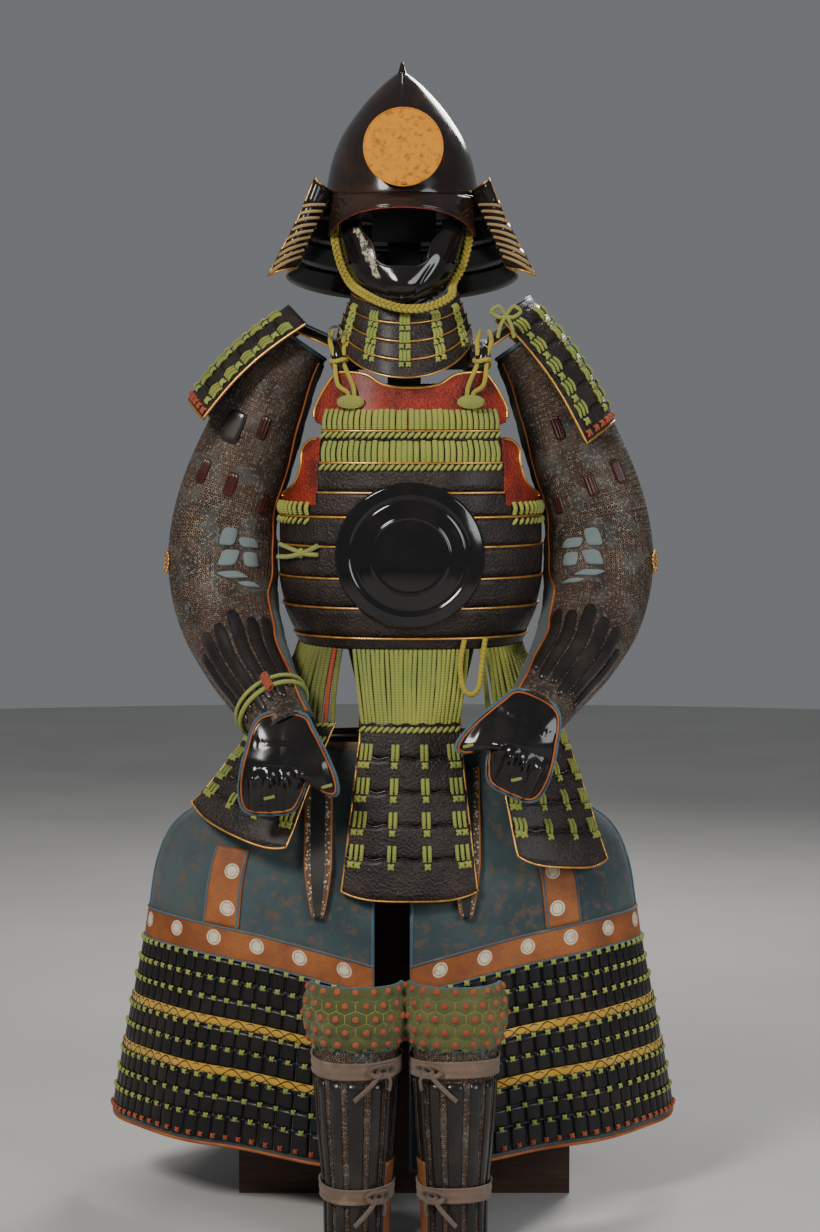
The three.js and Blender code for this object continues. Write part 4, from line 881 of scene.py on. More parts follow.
def neck_surface(degrees, t, lift=0):
    angle = math.radians(degrees)
    return neck_point(degrees, t) + lift * np.array([math.sin(angle) * 0.85, -math.cos(angle) * 0.85, 0.5])


def throat_surface(degrees, t, lift=0):
    angle = math.radians(degrees)
    return throat_point(degrees, t) + lift * np.array([math.sin(angle) * 0.95, -math.cos(angle) * 0.95,
                                                       0.3])


def flap_point(side, s, t, lift=0):
    start = neck_point(side * 63.6, t * 0.98)
    tip = max(0, t - 0.45)
    turn = s * lerp(1, 1.25, t)
    out = 32 * turn * (1 - 0.3 * turn) + 26 * tip * s
    shift = np.array([side * out, -20 * math.sin(turn * 2.3), 16 * s * (1 - t) - 22 * tip * s])
    return start + shift + lift * np.array([side * 0.25, -0.95, 0.15])


def lame_parts(surface, levels, across, wave=0.0, waves=8, inside=(0, 0, 0)):
    """One wall for each pair of levels, first level on top; its top edge stands proud and waves."""
    low, high = across[0], across[-1]
    parts = []
    for top, foot in zip(levels[:-1], levels[1:]):
        def at(s, k, top=top, foot=foot):
            ripple = wave * math.sin(waves * math.pi * (s - low) / (high - low)) * (1 - k) ** 3
            return surface(s, lerp(top + ripple, foot, k), LAME_STEP * (1 - k))
        parts.append(((at, across, steps(5), LAME_THICK), {"inside": inside}))
    return parts


def edge_line(surface, level, across, lift, wave=0.0, waves=8):
    low, high = across[0], across[-1]
    return [surface(s, level + wave * math.sin(waves * math.pi * (s - low) / (high - low)),
                    lift) for s in across]


def loop(surface, s, t0, t1, lift, rise, count=6):
    """A short lace over a surface from t0 to t1, arched between its two holes."""
    return [surface(s, lerp(t0, t1, f), lift + rise * math.sin(math.pi * f)) for f in steps(count)]


def facing_at(surface, s, t, ds, dt, inside):
    here = surface(s, t)
    along, across = surface(s, t + dt) - here, surface(s + ds, t) - here
    normal = np.cross(along, across)
    normal /= np.linalg.norm(normal)
    if np.dot(normal, here - np.asarray(inside)) < 0:
        normal = -normal
    up = -along / np.linalg.norm(along)
    return here, normal, up if up[2] > 0 else -up


def spot(surface, s, t, lift, inside, ds=0.01, dt=0.01):
    here, normal, up = facing_at(surface, s, t, ds, dt, inside)
    return here + normal * lift, normal, up


def shape(name, points, faces):
    """A small hidden shape in metres that the knot tree copies."""
    mesh = bpy.data.meshes.new(name)
    mesh.from_pydata(points, [], faces)
    mesh.polygons.foreach_set("use_smooth", [True] * len(mesh.polygons))
    mesh.update()
    return bpy.data.objects.new(name, mesh)


def crossed_knot(name, size, depth):
    """Two short fat stitches laid over each other as an X."""
    points, faces = [], []
    for turn, high in ((math.radians(45), 0.25), (math.radians(-45), 1.0)):
        start, ring = len(points), 8
        for x, share in ((-1, 0.3), (-0.75, 0.85), (0, 1), (0.75, 0.85), (1, 0.3)):
            for i in range(ring):
                angle = 2 * math.pi * i / ring
                y = 0.46 * share * math.cos(angle)
                z = share * (0.5 + 0.6 * math.sin(angle)) + high * 0.5 * (1 - x * x)
                points.append((size * (x * math.cos(turn) - y * math.sin(turn)),
                               size * (x * math.sin(turn) + y * math.cos(turn)), depth * z))
        for k in range(4):
            for i in range(ring):
                n, a = (i + 1) % ring, start + k * ring
                faces.append((a + i, a + ring + i, a + ring + n, a + n))
        faces.append(tuple(start + i for i in range(ring)))
        faces.append(tuple(start + 4 * ring + i for i in reversed(range(ring))))
    return shape(name, points, faces)


def puffed_bar(name, long, wide, depth, slant=0.0):
    """A short fat stitch, slanted across the seam."""
    ring, points, faces = 8, [], []
    turn = Matrix.Rotation(slant, 3, "Z")
    for x, share in ((-1, 0.25), (-0.8, 0.75), (0, 1), (0.8, 0.75), (1, 0.25)):
        for i in range(ring):
            angle = 2 * math.pi * i / ring
            p = Vector((x * long, wide * share * math.cos(angle), depth * share * (0.55 + math.sin(angle))))
            points.append(tuple(turn @ p))
    for k in range(4):
        for i in range(ring):
            n = (i + 1) % ring
            faces.append((k * ring + i, (k + 1) * ring + i, (k + 1) * ring + n, k * ring + n))
    faces.append(tuple(range(ring)))
    faces.append(tuple(4 * ring + i for i in reversed(range(ring))))
    return shape(name, points, faces)


def dome_shape(name, radius, depth, ring=14):
    points, faces = [], []
    for reach, height in ((1, 0), (0.93, 0.5), (0.6, 0.9)):
        points += [(radius * reach * math.cos(2 * math.pi * i / ring),
                    radius * reach * math.sin(2 * math.pi * i / ring),
                    depth * height) for i in range(ring)]
    points.append((0, 0, depth))
    for k in range(2):
        faces += [(k * ring + i, k * ring + (i + 1) % ring, (k + 1) * ring + (i + 1) % ring,
                   (k + 1) * ring + i)
                  for i in range(ring)]
    faces += [(2 * ring + i, 2 * ring + (i + 1) % ring, 3 * ring) for i in range(ring)]
    faces.append(tuple(reversed(range(ring))))
    return shape(name, points, faces)


def part(node):
    return bpy.data.objects[node]


def dress(node, material):
    """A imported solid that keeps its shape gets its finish."""
    obj = part(node)
    obj.data.materials.clear()
    obj.data.materials.append(material)
    return obj


def stand_in(obj, *nodes, slot=None):
    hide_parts(*nodes)
    return obj


# Pieces
def build_stand():
    dress("chest", finish("wood"))
    dress("chest_lid_and_post", finish("wood"))


def build_helmet():
    """Bowl with its point, ridge and visor, as one lacquered skin, and the disc in front."""
    parts = []

    def shell(s, t):
        z = lerp(1374, 1552, t)
        r = max(bowl_radius(z), 5.5)
        ridge = 2.6 * math.exp(-((s - 270) / 1.6) ** 2) * min(1, max(0, (z - 1490) / 20))
        angle = math.radians(s)
        r += ridge
        return np.array([HEAD_X + r * math.cos(angle), 1.14 * r * math.sin(angle), z])
    around = sorted({*np.round(np.arange(0, 360, 4.0), 2), *np.round(np.arange(262, 278, 1.0), 2)})
    parts.append(((shell, around, steps(48), 0.8), {"around": True, "inside": (HEAD_X, 0, 1450),
                                                    "lift": -0.8}))

    def point(s, t):
        angle = math.radians(s)
        r = lerp(6.2, 1.2, t) * (1 - 0.12 * math.sin(math.pi * t))
        return np.array([HEAD_X + r * math.cos(angle), 1.14 * r * math.sin(angle), lerp(1551, 1567, t)])
    parts.append(((point, list(np.arange(0, 360, 20.0)), steps(8), 0.6),
                  {"around": True, "inside": (HEAD_X, 0, 1555)}))

    def visor(s, t):
        angle = math.radians(lerp(-61, 61, s))
        ends = abs(2 * s - 1) ** 2.2
        out = lerp(-1.0, lerp(20, 7, ends), t) + 2.2 * math.sin(math.pi * t)
        z = lerp(1380, lerp(1361, 1326, ends), t)
        r = bowl_radius(max(z, 1374)) + out
        return np.array([HEAD_X + r * math.sin(angle), -1.14 * r * math.cos(angle), z])
    parts.append(((visor, steps(60), steps(8), 2), {"inside": (HEAD_X, 0, 1400)}))
    bowl = walls("helmet_skin", finish("helmet"), parts)
    stand_in(bowl, "helmet_bowl", slot="brown_lacquer")
    brim = [visor(s, 1.0) + np.array([0, -0.6, -0.5]) for s in steps(60)]
    rim("visor_rim", brim, 1.9, finish("helmet"))
    under = [visor(s, 1.0) + np.array([0, -1.2, -2.0]) for s in steps(60, 0.02, 0.98)]
    rim("visor_red_line", under, 1.0, finish("red"))
    seam = [shell(s, 0.03) for s in steps(60, 0, 360)]
    rim("bowl_foot_rim", seam, 1.6, finish("helmet"))
    dress("helmet_disc", finish("disc"))
    tilt = math.radians(-8)

    def on_disc(angle, r, out=0):
        y, z = -out, r * math.sin(angle)
        return np.array([HEAD_X + 2 + r * math.cos(angle), -121 + y * math.cos(tilt) - z * math.sin(tilt),
                         1441 + y * math.sin(tilt) + z * math.cos(tilt)])
    circle = [on_disc(2 * math.pi * k / 72, 53.0, 1.0) for k in range(73)]
    rim("disc_rim", circle, 1.3, finish("disc"))
    tab = [on_disc(-math.pi / 2 + turn, 50, 2.2) for turn in steps(6, -0.07, 0.07)]
    rim("disc_tab", tab, 2.2, finish("gold"))


def build_neck():
    """Neck guard lames with their lacing, and the turned-back ends."""
    across = steps(80, 64, 296)
    inside = (HEAD_X, 0, 1300)
    levels = (0, 0.25, 0.5, 0.75, 1)
    guard = walls("neck_guard_lames", finish("black"), lame_parts(neck_surface, levels, across,
                                                                  inside=inside))
    stand_in(guard, "neck_guard", slot="black_lacquer")
    rim_paths = [edge_line(neck_surface, t, across, 4.0) for t in levels[:-1]] + \
        [edge_line(neck_surface, 0.995, across, 1.6)]
    laces("neck_guard_gold_edges", rim_paths, 1.0, finish("gold"))
    paths, ties = [], []
    for degrees in steps(11, 76, 284):
        for t in levels[1:-1]:
            for offset in (-1.6, 1.6):
                paths.append(loop(neck_surface, degrees + offset, t + 0.01, t - 0.11, 2.6, 2.2))
            ties.append(spot(neck_surface, degrees, t + 0.07, 3.6, inside, ds=1.0))
    laces("neck_guard_lacing", paths, 2.3, finish("lace"), flatness=0.8)
    knots("neck_guard_knots", ties, crossed_knot("neck_knot", 0.0052, 0.0028), finish("lace"))
    for side, hand in SIDES:
        behind = (HEAD_X + side * 60, 60, 1310)

        def flap(s, t, lift=0, side=side):
            return flap_point(side, s, t, lift)
        ends = steps(14)
        leaf = walls(f"neck_flap_{hand}_lames", finish("black"),
                     lame_parts(flap, levels, ends, inside=behind))
        stand_in(leaf, f"neck_flap_{hand}", slot="gilt")
        bars = []
        for k in range(9):
            bars.append([flap(s, t, 3.6 + 1.2 * (1 - t % 0.25 / 0.25)) for s, t in
                         ((0.05 + 0.092 * i, min(0.985,
                                                 0.19 + 0.084 * k + 0.115 * i / 9)) for i in range(10))])
        laces(f"neck_flap_{hand}_bars", bars, 3.9, finish("pale_lace"), 10, 0.55)
        border = [flap(s, 0.0, 3.4) for s in ends] + [flap(1, t, 2.6) for t in steps(20)] + \
            [flap(s, 1.0, 2.2) for s in reversed(ends)]
        rim(f"neck_flap_{hand}_border", border, 1.5, finish("gold"))


def in_mouth(x, z):
    """Inside the opening of the face guard over the nose and mouth."""
    edge = ((1281, 20), (1288, 33), (1312, 40), (1334, 56), (1360, 58))
    if z < 1281:
        return False
    half = np.interp(z, [e[0] for e in edge], [e[1] for e in edge])
    return abs(x - HEAD_X) < half


def build_face():
    """Face guard with creased cheeks, its rolled rim, and the throat guard below."""
    def face(s, z):
        crease = 0.0
        for middle, low, strength in ((26, 1270, 1.5), (48, 1300, 1.4), (60, 1318, 1.2)):
            line = (abs(s) - middle) - 0.35 * (z - low)
            crease -= strength * math.exp(-(line / 3.4) ** 2) * math.exp(-((z - low) / 24) ** 2)
        chin = 3.0 * math.exp(-(s / 13) ** 2 - ((z - 1256) / 11) ** 2)
        return mask_point(s, z, crease + chin)

    def shows(s, z):
        p = mask_point(s, z)
        return not (in_mouth(p[0], z) and p[1] < -60)
    skin = wall("face_guard_skin", finish("mask"), face, steps(164, -82, 82), steps(78, 1230, 1346), 2,
                inside=(HEAD_X, 0, 1290), keep=shows)
    stand_in(skin, "face_guard", slot="black_lacquer")
    mouth = [(-56, 1344), (-56, 1334), (-48, 1322), (-40, 1312), (-36.5, 1299), (-33, 1288), (-20, 1281),
             (-8, 1280.5),
             (8, 1280.5), (20, 1281), (33, 1288), (36.5, 1299), (40, 1312), (48, 1322), (56, 1334),
             (56, 1344)]

    def at_x(x, z, lift):
        low, high = -82.0, 82.0
        for _ in range(30):
            mid = (low + high) / 2
            low, high = (mid, high) if mask_point(mid, z, lift)[0] < x else (low, mid)
        return mask_point(low, z, lift)
    lip = smooth_path([at_x(HEAD_X + x, z, 1.2) for x, z in mouth], 70)
    rim("face_guard_lip", lip, 2.4, finish("black"))
    outer = [mask_point(-82, z, 1) for z in steps(16, 1346, 1232)] + [mask_point(s, 1231,
            1) for s in steps(24, -80, 80)] + \
        [mask_point(82, z, 1) for z in steps(16, 1232, 1346)]
    rim("face_guard_rim", outer, 1.8, finish("black"))
    pegs = [spot(lambda s, z, lift=0: mask_point(s, z, lift), s, z, 2, (HEAD_X, 0, 1290), ds=1, dt=1)
            for s, z in ((-64, 1290), (64, 1290), (0, 1241))]
    knots("face_guard_pegs", pegs, dome_shape("peg", 0.004, 0.006), finish("black"))
    across = steps(72, -84, 84)
    inside = (1, 0, 1180)
    levels = (0, 0.25, 0.5, 0.75, 1)
    throat = walls("throat_lames", finish("hide"), lame_parts(throat_surface, levels, across,
                                                              inside=inside))
    stand_in(throat, "throat_guard", slot="grained_hide")
    edges = [edge_line(throat_surface, t, across, 4.0) for t in levels[:-1]]
    edges.append(edge_line(throat_surface, 0.99, across, 1.8))
    laces("throat_gold_edges", edges, 1.3, finish("gold"))
    paths, ties = [], []
    for degrees in (-62, -32, 0, 32, 62):
        for t in levels[1:-1]:
            for offset in (-3.4, 0, 3.4):
                paths.append(loop(throat_surface, degrees + offset, t + 0.015, t - 0.12, 3.0, 2.6))
            for offset in (-3, 3):
                ties.append(spot(throat_surface, degrees + offset, t + 0.075, 3.6, inside, ds=1.0))
    laces("throat_lacing", paths, 2.6, finish("lace"), flatness=0.85)
    knots("throat_knots", ties, crossed_knot("throat_knot", 0.0046, 0.0026), finish("lace"))


def build_cuirass():
    """Front and back lames with gilt edges, red plates, round plate and the close lacing."""
    inside = (TORSO_X, 0, 950)

    def plates(name, levels, start, end, count, open_at):
        parts = []
        for low, high in zip(levels[:-1], levels[1:]):
            def at(s, z):
                return torso_surface(s, z)

            def rise(s, z, low=low, high=high):
                return 2.0 * (z - low) / (high - low)
            parts.append(((at, steps(count, start, end), steps(4, low, high), 2),
                          {"inside": inside, "relief": rise, "keep": open_at}))
        return walls(name, finish("hide"), parts)

    def front_open(s, z):
        edge = lerp(126, 117, (z - 958) / 142)
        return z < 958 or abs(torso_point(s, z)[0] - TORSO_X) < edge

    def back_open(s, z):
        edge = np.interp(z, (965, 1040, 1150), (140, 122, 118))
        return z < 965 or abs(torso_point(s, z)[0] - TORSO_X) < edge
    stand_in(plates("cuirass_front_lames", FRONT_LEVELS, -89.95, 89.95, 120, front_open), "cuirass_front",
             slot="grained_hide")
    stand_in(plates("cuirass_back_lames", BACK_LEVELS, 90.05, 269.95, 100, back_open), "cuirass_back",
             slot="grained_hide")
    lines = []
    for z in (781, 822, 862, 905, 945):
        lines.append([torso_surface(s, z - 1, 4.3) for s in steps(80, -89, 89)])
    for z, half in ((978, 123.5), (1018, 120.5), (1061, 118)):
        lines.append([torso_surface(degrees_at(x, z), z - 1, 4.3) for x in steps(60, -half, half)])
    for z in BACK_LEVELS[1:-1]:
        edge = 89 if z < 965 else 42
        lines.append([torso_surface(180 + s, z - 1, 4.3) for s in steps(60, -edge, edge)])
    laces("cuirass_gold_lines", lines, 1.7, finish("gold"), flatness=1.0)

    rng = random.Random(5)
    loops, stitches = [], []
    for z_low, z_high, lift, half in ((1062.5, 1088, 4.2, 114), (1019, 1046, 3.0, 116)):
        for s in even_degrees(degrees_at(-half, z_low), degrees_at(half, z_low), 30, z_low):
            tall = z_high + rng.uniform(-1, 1)
            loops.append(loop(torso_surface, s + rng.uniform(-0.15, 0.15), z_low, tall, lift, 3.0, 8))
    for z, half in ((1053, 115), (1010, 117)):
        for s in even_degrees(degrees_at(-half, z), degrees_at(half, z), 28, z):
            stitches.append(spot(torso_surface, s, z, 4.6, inside, ds=1, dt=1))
    for side in (-1, 1):
        for s in even_degrees(side * 47, side * 86, 9, 950):
            loops.append(loop(torso_surface, s, 947, 963, 4.2, 2.8, 8))
            stitches.append(spot(torso_surface, s, 937, 4.4, inside, ds=1, dt=1))
    for z_low, z_high in ((1051, 1074), (979, 1000)):
        for s in even_degrees(180 - 38, 180 + 38, 26, z_low):
            loops.append(loop(torso_surface, s, z_low, z_high, 4.0, 2.8, 8))
            stitches.append(spot(torso_surface, s, z_low - 9, 4.4, inside, ds=1, dt=1))
    laces("cuirass_close_lacing", loops, 3.7, finish("lace"), flatness=0.66)
    slanted = puffed_bar("slanted_stitch", 0.0062, 0.0027, 0.0024, math.radians(42))
    knots("cuirass_slanted_stitches", stitches, slanted, finish("lace"), 0.05)

    def plate_mesh(name, outline, z_low, z_high, reach_low, reach_high, thick, node, sides=120,
                   high_steps=40):
        xs = [o[0] for o in outline]

        def shows(s, z):
            x = torso_point(s, z)[0]
            crossings = 0
            for (x0, z0), (x1, z1) in zip(outline, outline[1:] + outline[:1]):
                if (z0 > z) != (z1 > z) and x < x0 + (z - z0) / (z1 - z0) * (x1 - x0):
                    crossings += 1
            return crossings % 2 == 1 and min(xs) < x < max(xs)
        piece = wall(name, finish("red"), lambda s, z: torso_surface(s, z),
                     steps(sides, reach_low, reach_high),
                     steps(high_steps, z_low, z_high), thick, inside=inside, keep=shows)
        stand_in(piece, node, slot="red_hide")

    def mirror(points, side):
        return [(TORSO_X + side * x, z) for x, z in points]
    half = [(0, 1062.4), (115, 1062.4), (115, 1066), (127, 1071), (128, 1087), (117, 1112), (103, 1133),
            (94, 1139),
            (60, 1136), (36, 1122), (0, 1118)]
    plate_mesh("breast_plate_hide", mirror(half, 1) + mirror(half[1:-1], -1)[::-1], 1062.4, 1142, -62, 62,
               4,
               "chest_plate", 150, 60)
    top = [(-128, 1078), (-127, 1090), (-117, 1112), (-103, 1133), (-94, 1139), (-60, 1136), (-36, 1122),
           (0, 1118),
           (36, 1122), (60, 1136), (94, 1139), (103, 1133), (117, 1112), (127, 1090), (128, 1078)]
    line = smooth_path([on_torso(TORSO_X + x, z, 4.5) for x, z in top], 90)
    rim("breast_plate_gold_rim", line, 2.1, finish("gold"))
    for side, hand in SIDES:
        outline = [(127, 958.3), (200, 958.3), (200, 966), (176, 972), (156, 988), (146, 1012),
                   (145, 1036), (136, 1046),
                   (120.5, 1050)]
        reach = (36, 92) if side > 0 else (-92, -36)
        plate_mesh(f"side_plate_{hand}_hide", mirror(outline, side), 958.3, 1050, *reach, 3,
                   f"side_plate_{hand}",
                   90, 50)
        curve = [(182, 970), (172, 974), (156, 988), (147, 1012), (145, 1034), (136, 1046), (124, 1049.5)]
        edge = smooth_path([on_torso(TORSO_X + side * min(x, 173), z, 3.6) for x, z in curve], 50)
        rim(f"side_plate_{hand}_gold_rim", edge, 2.0, finish("gold"))
    build_roundel()
    tie = smooth_path([on_torso(x, z, 8) for x, z in ((-112, 905), (-124, 898), (-138, 892), (-152, 888),
                                                      (-166, 886))], 30)
    cord = laces("breast_cord_tie", [tie], 3.4, finish("lace"), 12)
    stand_in(cord, "chest_tie", slot="lacing")
    second = smooth_path([on_torso(x, z, 8.5) for x, z in ((-112, 893), (-126, 893), (-137, 896),
                                                           (-150, 900), (-163, 904))], 24)
    laces("breast_cord_tail", [second], 3.0, finish("lace"), 12)
    wrap = [on_torso(-134, 894, 8) + 5.2 * np.array([0.3 * math.sin(a), -abs(math.sin(a)) * 0.6,
                                                     math.cos(a)])
            for a in steps(12, 0, 2 * math.pi)]
    laces("breast_cord_knot", [wrap], 2.4, finish("lace"))


def build_roundel():
    """Plain ringed plate on the belly: a broad raised ring round a smooth domed middle."""
    cx, cz, radius = TORSO_X - 1, 893, 98

    def skin(s, t):
        x, z = cx + radius * t * math.sin(s), cz + radius * t * math.cos(s)
        return on_torso(x, z, 4.9)

    def rise(s, t):
        ring = 2.8 * min(1, max(0, (t - 0.79) / 0.03)) * min(1, max(0, (1.0 - t) / 0.03))
        groove = -0.8 * math.exp(-((t - 0.755) / 0.012) ** 2)
        inner = 1.3 * math.exp(-((t - 0.52) / 0.016) ** 2)
        return ring + groove + inner + 2.6 * max(0, 1 - (t / 0.7) ** 2)
    around = list(np.arange(0, 2 * math.pi - 1e-6, 2 * math.pi / 128))
    plate = wall("belly_round_plate", finish("polished"), skin, around, steps(90, 0.004, 1), 2.4,
                 relief=rise,
                 around=True, inside=(TORSO_X, 0, 893), poles=(0,))
    stand_in(plate, "chest_roundel", slot="black_lacquer")


def build_shoulders():
    """Straps with their toggles and knots, wings, and the laced shoulder guards."""
    strap_line = ((97, 1096), (92, 1126), (66, 1168), (34, 1178.3), (-22, 1178.3), (-66, 1163),
                  (-100, 1143))
    for side, hand in SIDES:
        middle = TORSO_X + side * 92
        path = smooth_path([(0, y, z) for y, z in strap_line], 60)

        def strap(s, t, middle=middle, path=path):
            k = t * 60
            i = min(int(k), 59)
            p = lerp(path[i], path[i + 1], k - i)
            return np.array([middle + 15 * s, p[1], p[2]])
        band = wall(f"shoulder_strap_{hand}_hide", finish("hide"), strap, steps(12, -1, 1), steps(60), 6,
                    inside=(middle, 0, 1000), relief=lambda s, t: 1.2 * (1 - s**4) - 1.0)
        stand_in(band, f"shoulder_strap_{hand}", slot="grained_hide")
        edges = [[strap(s, t) + np.array([0, 0, 3]) for t in steps(50, 0.02, 0.98)] for s in (-1.02, 1.02)]
        laces(f"shoulder_strap_{hand}_piping", edges, 2.2, finish("gold"))
        toggle_at = np.array([TORSO_X + side * 97, -105, 1155])
        lean = math.radians(side * 16)
        axis = np.array([math.sin(lean), 0, math.cos(lean)])
        spindle = [toggle_at + axis * 20 * f for f in steps(10, -1, 1)]

        def bead(s, t, spindle=spindle):
            p = lerp(spindle[0], spindle[-1], t)
            r = max(9 * math.sin(math.pi * t) ** 0.7, 0.4)
            return p + r * np.array([math.cos(s) * math.cos(lean), -math.sin(s),
                                     -math.cos(s) * math.sin(lean)])
        wall(f"toggle_{hand}", finish("black"), bead, list(np.arange(0, 2 * math.pi - 1e-6,
                                                                     math.pi / 10)), steps(20, 0.01, 0.99),
             0.8, around=True, inside=tuple(toggle_at), poles=(0, -1))
        cords = []
        for dx in (-6, 6):
            foot = on_torso(TORSO_X + side * 78 + dx * 0.7, 1103, 6)
            cords.append(smooth_path([toggle_at + np.array([dx, -5, -4]),
                                      lerp(toggle_at, foot, 0.5) + np.array([dx * 1.3, -7, -6]),
                                      foot + np.array([0, -2, 8]), foot], 20))
            cords.append(smooth_path([toggle_at + np.array([dx, -4, 6]),
                                      toggle_at + np.array([dx * 1.6 + side * 3, 6, 26]),
                                      toggle_at + np.array([dx + side * 4, 26, 40])], 16))
        wrap = [toggle_at + 10.5 * np.array([math.cos(a), -math.sin(a), 0]) + np.array([0, 0,
                1.5 * math.sin(2 * a)])
                for a in steps(20, 0, 2 * math.pi)]
        cords.append(wrap)
        laces(f"toggle_cords_{hand}", cords, 3.2, finish("cord"), 10)
        knot_at = on_torso(TORSO_X + side * 78, 1099, 7)
        turns = []
        for k in range(7):
            lift = 2.5 * math.cos((k - 3) / 3 * 1.3)
            turns.append([knot_at + np.array([17 * u, -4 - lift - 4.5 * math.sqrt(max(0, 1 - u * u)),
                                              (k - 3) * 2.5 * math.sqrt(max(0.05,
                                                      1 - u * u))]) for u in steps(12, -1, 1)])
        laces(f"oval_knot_{hand}", turns, 1.9, finish("lace"))

        g = GUARDS[side]
        start = TORSO_X + side * 109.5
        end = g["x0"] + side * 14

        def wing(s, t, start=start, end=end, g=g):
            y = 54 * t * (1 - 0.45 * s * s)
            return np.array([lerp(start, end, s), -2 + y, lerp(1186, g["z0"] - 12, s) - 12 * t * t])
        leaf = wall(f"shoulder_wing_{hand}_pad", finish("aged"), wing, steps(16), steps(40, -1, 1), 4,
                    inside=(start, 0, 1000), relief=lambda s, t: 0.8 * math.cos(9 * t))
        stand_in(leaf, f"shoulder_wing_{hand}", slot="black_lacquer")
        rim(f"shoulder_wing_{hand}_edge", [wing(s, -1) for s in steps(10)] + [wing(1,
                t) for t in steps(20, -1, 1)],
            1.6, finish("gold"))

        def guard(s, t, lift=0, side=side):
            return guard_point(side, s, t, lift)
        inside = (side * 140, 0, 1050)
        levels = tuple(steps(6))
        across = steps(60)
        lames = walls(f"shoulder_guard_{hand}_lames", finish("hide"),
                      lame_parts(guard, levels, across, inside=inside))
        stand_in(lames, f"shoulder_guard_{hand}", slot="grained_hide")
        border = [guard(0, t, 2.5) for t in steps(40)] + [guard(s, 1, 1.5) for s in across[1:]] + \
            [guard(1, t, 2.5) for t in steps(40, 1, 0)]
        rim(f"shoulder_guard_{hand}_border", border, 1.9, finish("gold"))
        laces(f"shoulder_guard_{hand}_edges", [edge_line(guard, t, across, 4.0) for t in levels[:-1]], 0.9,
              finish("aged"))
        paths, ties, ends = [], [], []
        for s in (0.07, 0.3, 0.5, 0.7, 0.93):
            width = (-0.03, 0, 0.03) if s in (0.07, 0.93) else (-0.018, 0.018)
            for t in levels[1:-1]:
                for offset in width:
                    paths.append(loop(guard, s + offset, t + 0.012, t - 0.085, 2.8, 2.8))
                ties.append(spot(guard, s, t + 0.05, 3.6, inside))
        for s in steps(13, 0.05, 0.95):
            ends.append(spot(guard, s, 0.955, 2.4, inside))
        laces(f"shoulder_guard_{hand}_lacing", paths, 2.7, finish("lace"), flatness=0.85)
        knots(f"shoulder_guard_{hand}_knots", ties, crossed_knot(f"guard_knot_{hand}", 0.0062, 0.003),
              finish("lace"))
        knots(f"shoulder_guard_{hand}_foot_knots", ends, crossed_knot(f"foot_knot_{hand}", 0.0058, 0.003),
              finish("orange_lace"))
    ring_at = np.array([-93, -112, 1192])
    ring = [ring_at + 9 * np.array([math.cos(a), 0.35 * math.sin(a), math.sin(a)]) for a in steps(28, 0,
            2 * math.pi)]
    laces("shoulder_ring", [ring], 1.5, finish("iron"))
    bow = []
    bow_at = np.array([138, -106, 1216])
    for way in (-1, 1):
        bow.append(smooth_path([bow_at, bow_at + np.array([way * 10, -4, 12]),
                                bow_at + np.array([way * 20, -2, 5]),
                                bow_at + np.array([way * 9, 1, -3]), bow_at], 24))
        bow.append(smooth_path([bow_at, bow_at + np.array([way * 7, -5, -13]),
                                bow_at + np.array([way * 11, -1, -30])], 12))
    laces("green_bow", bow, 2.6, finish("lace"))


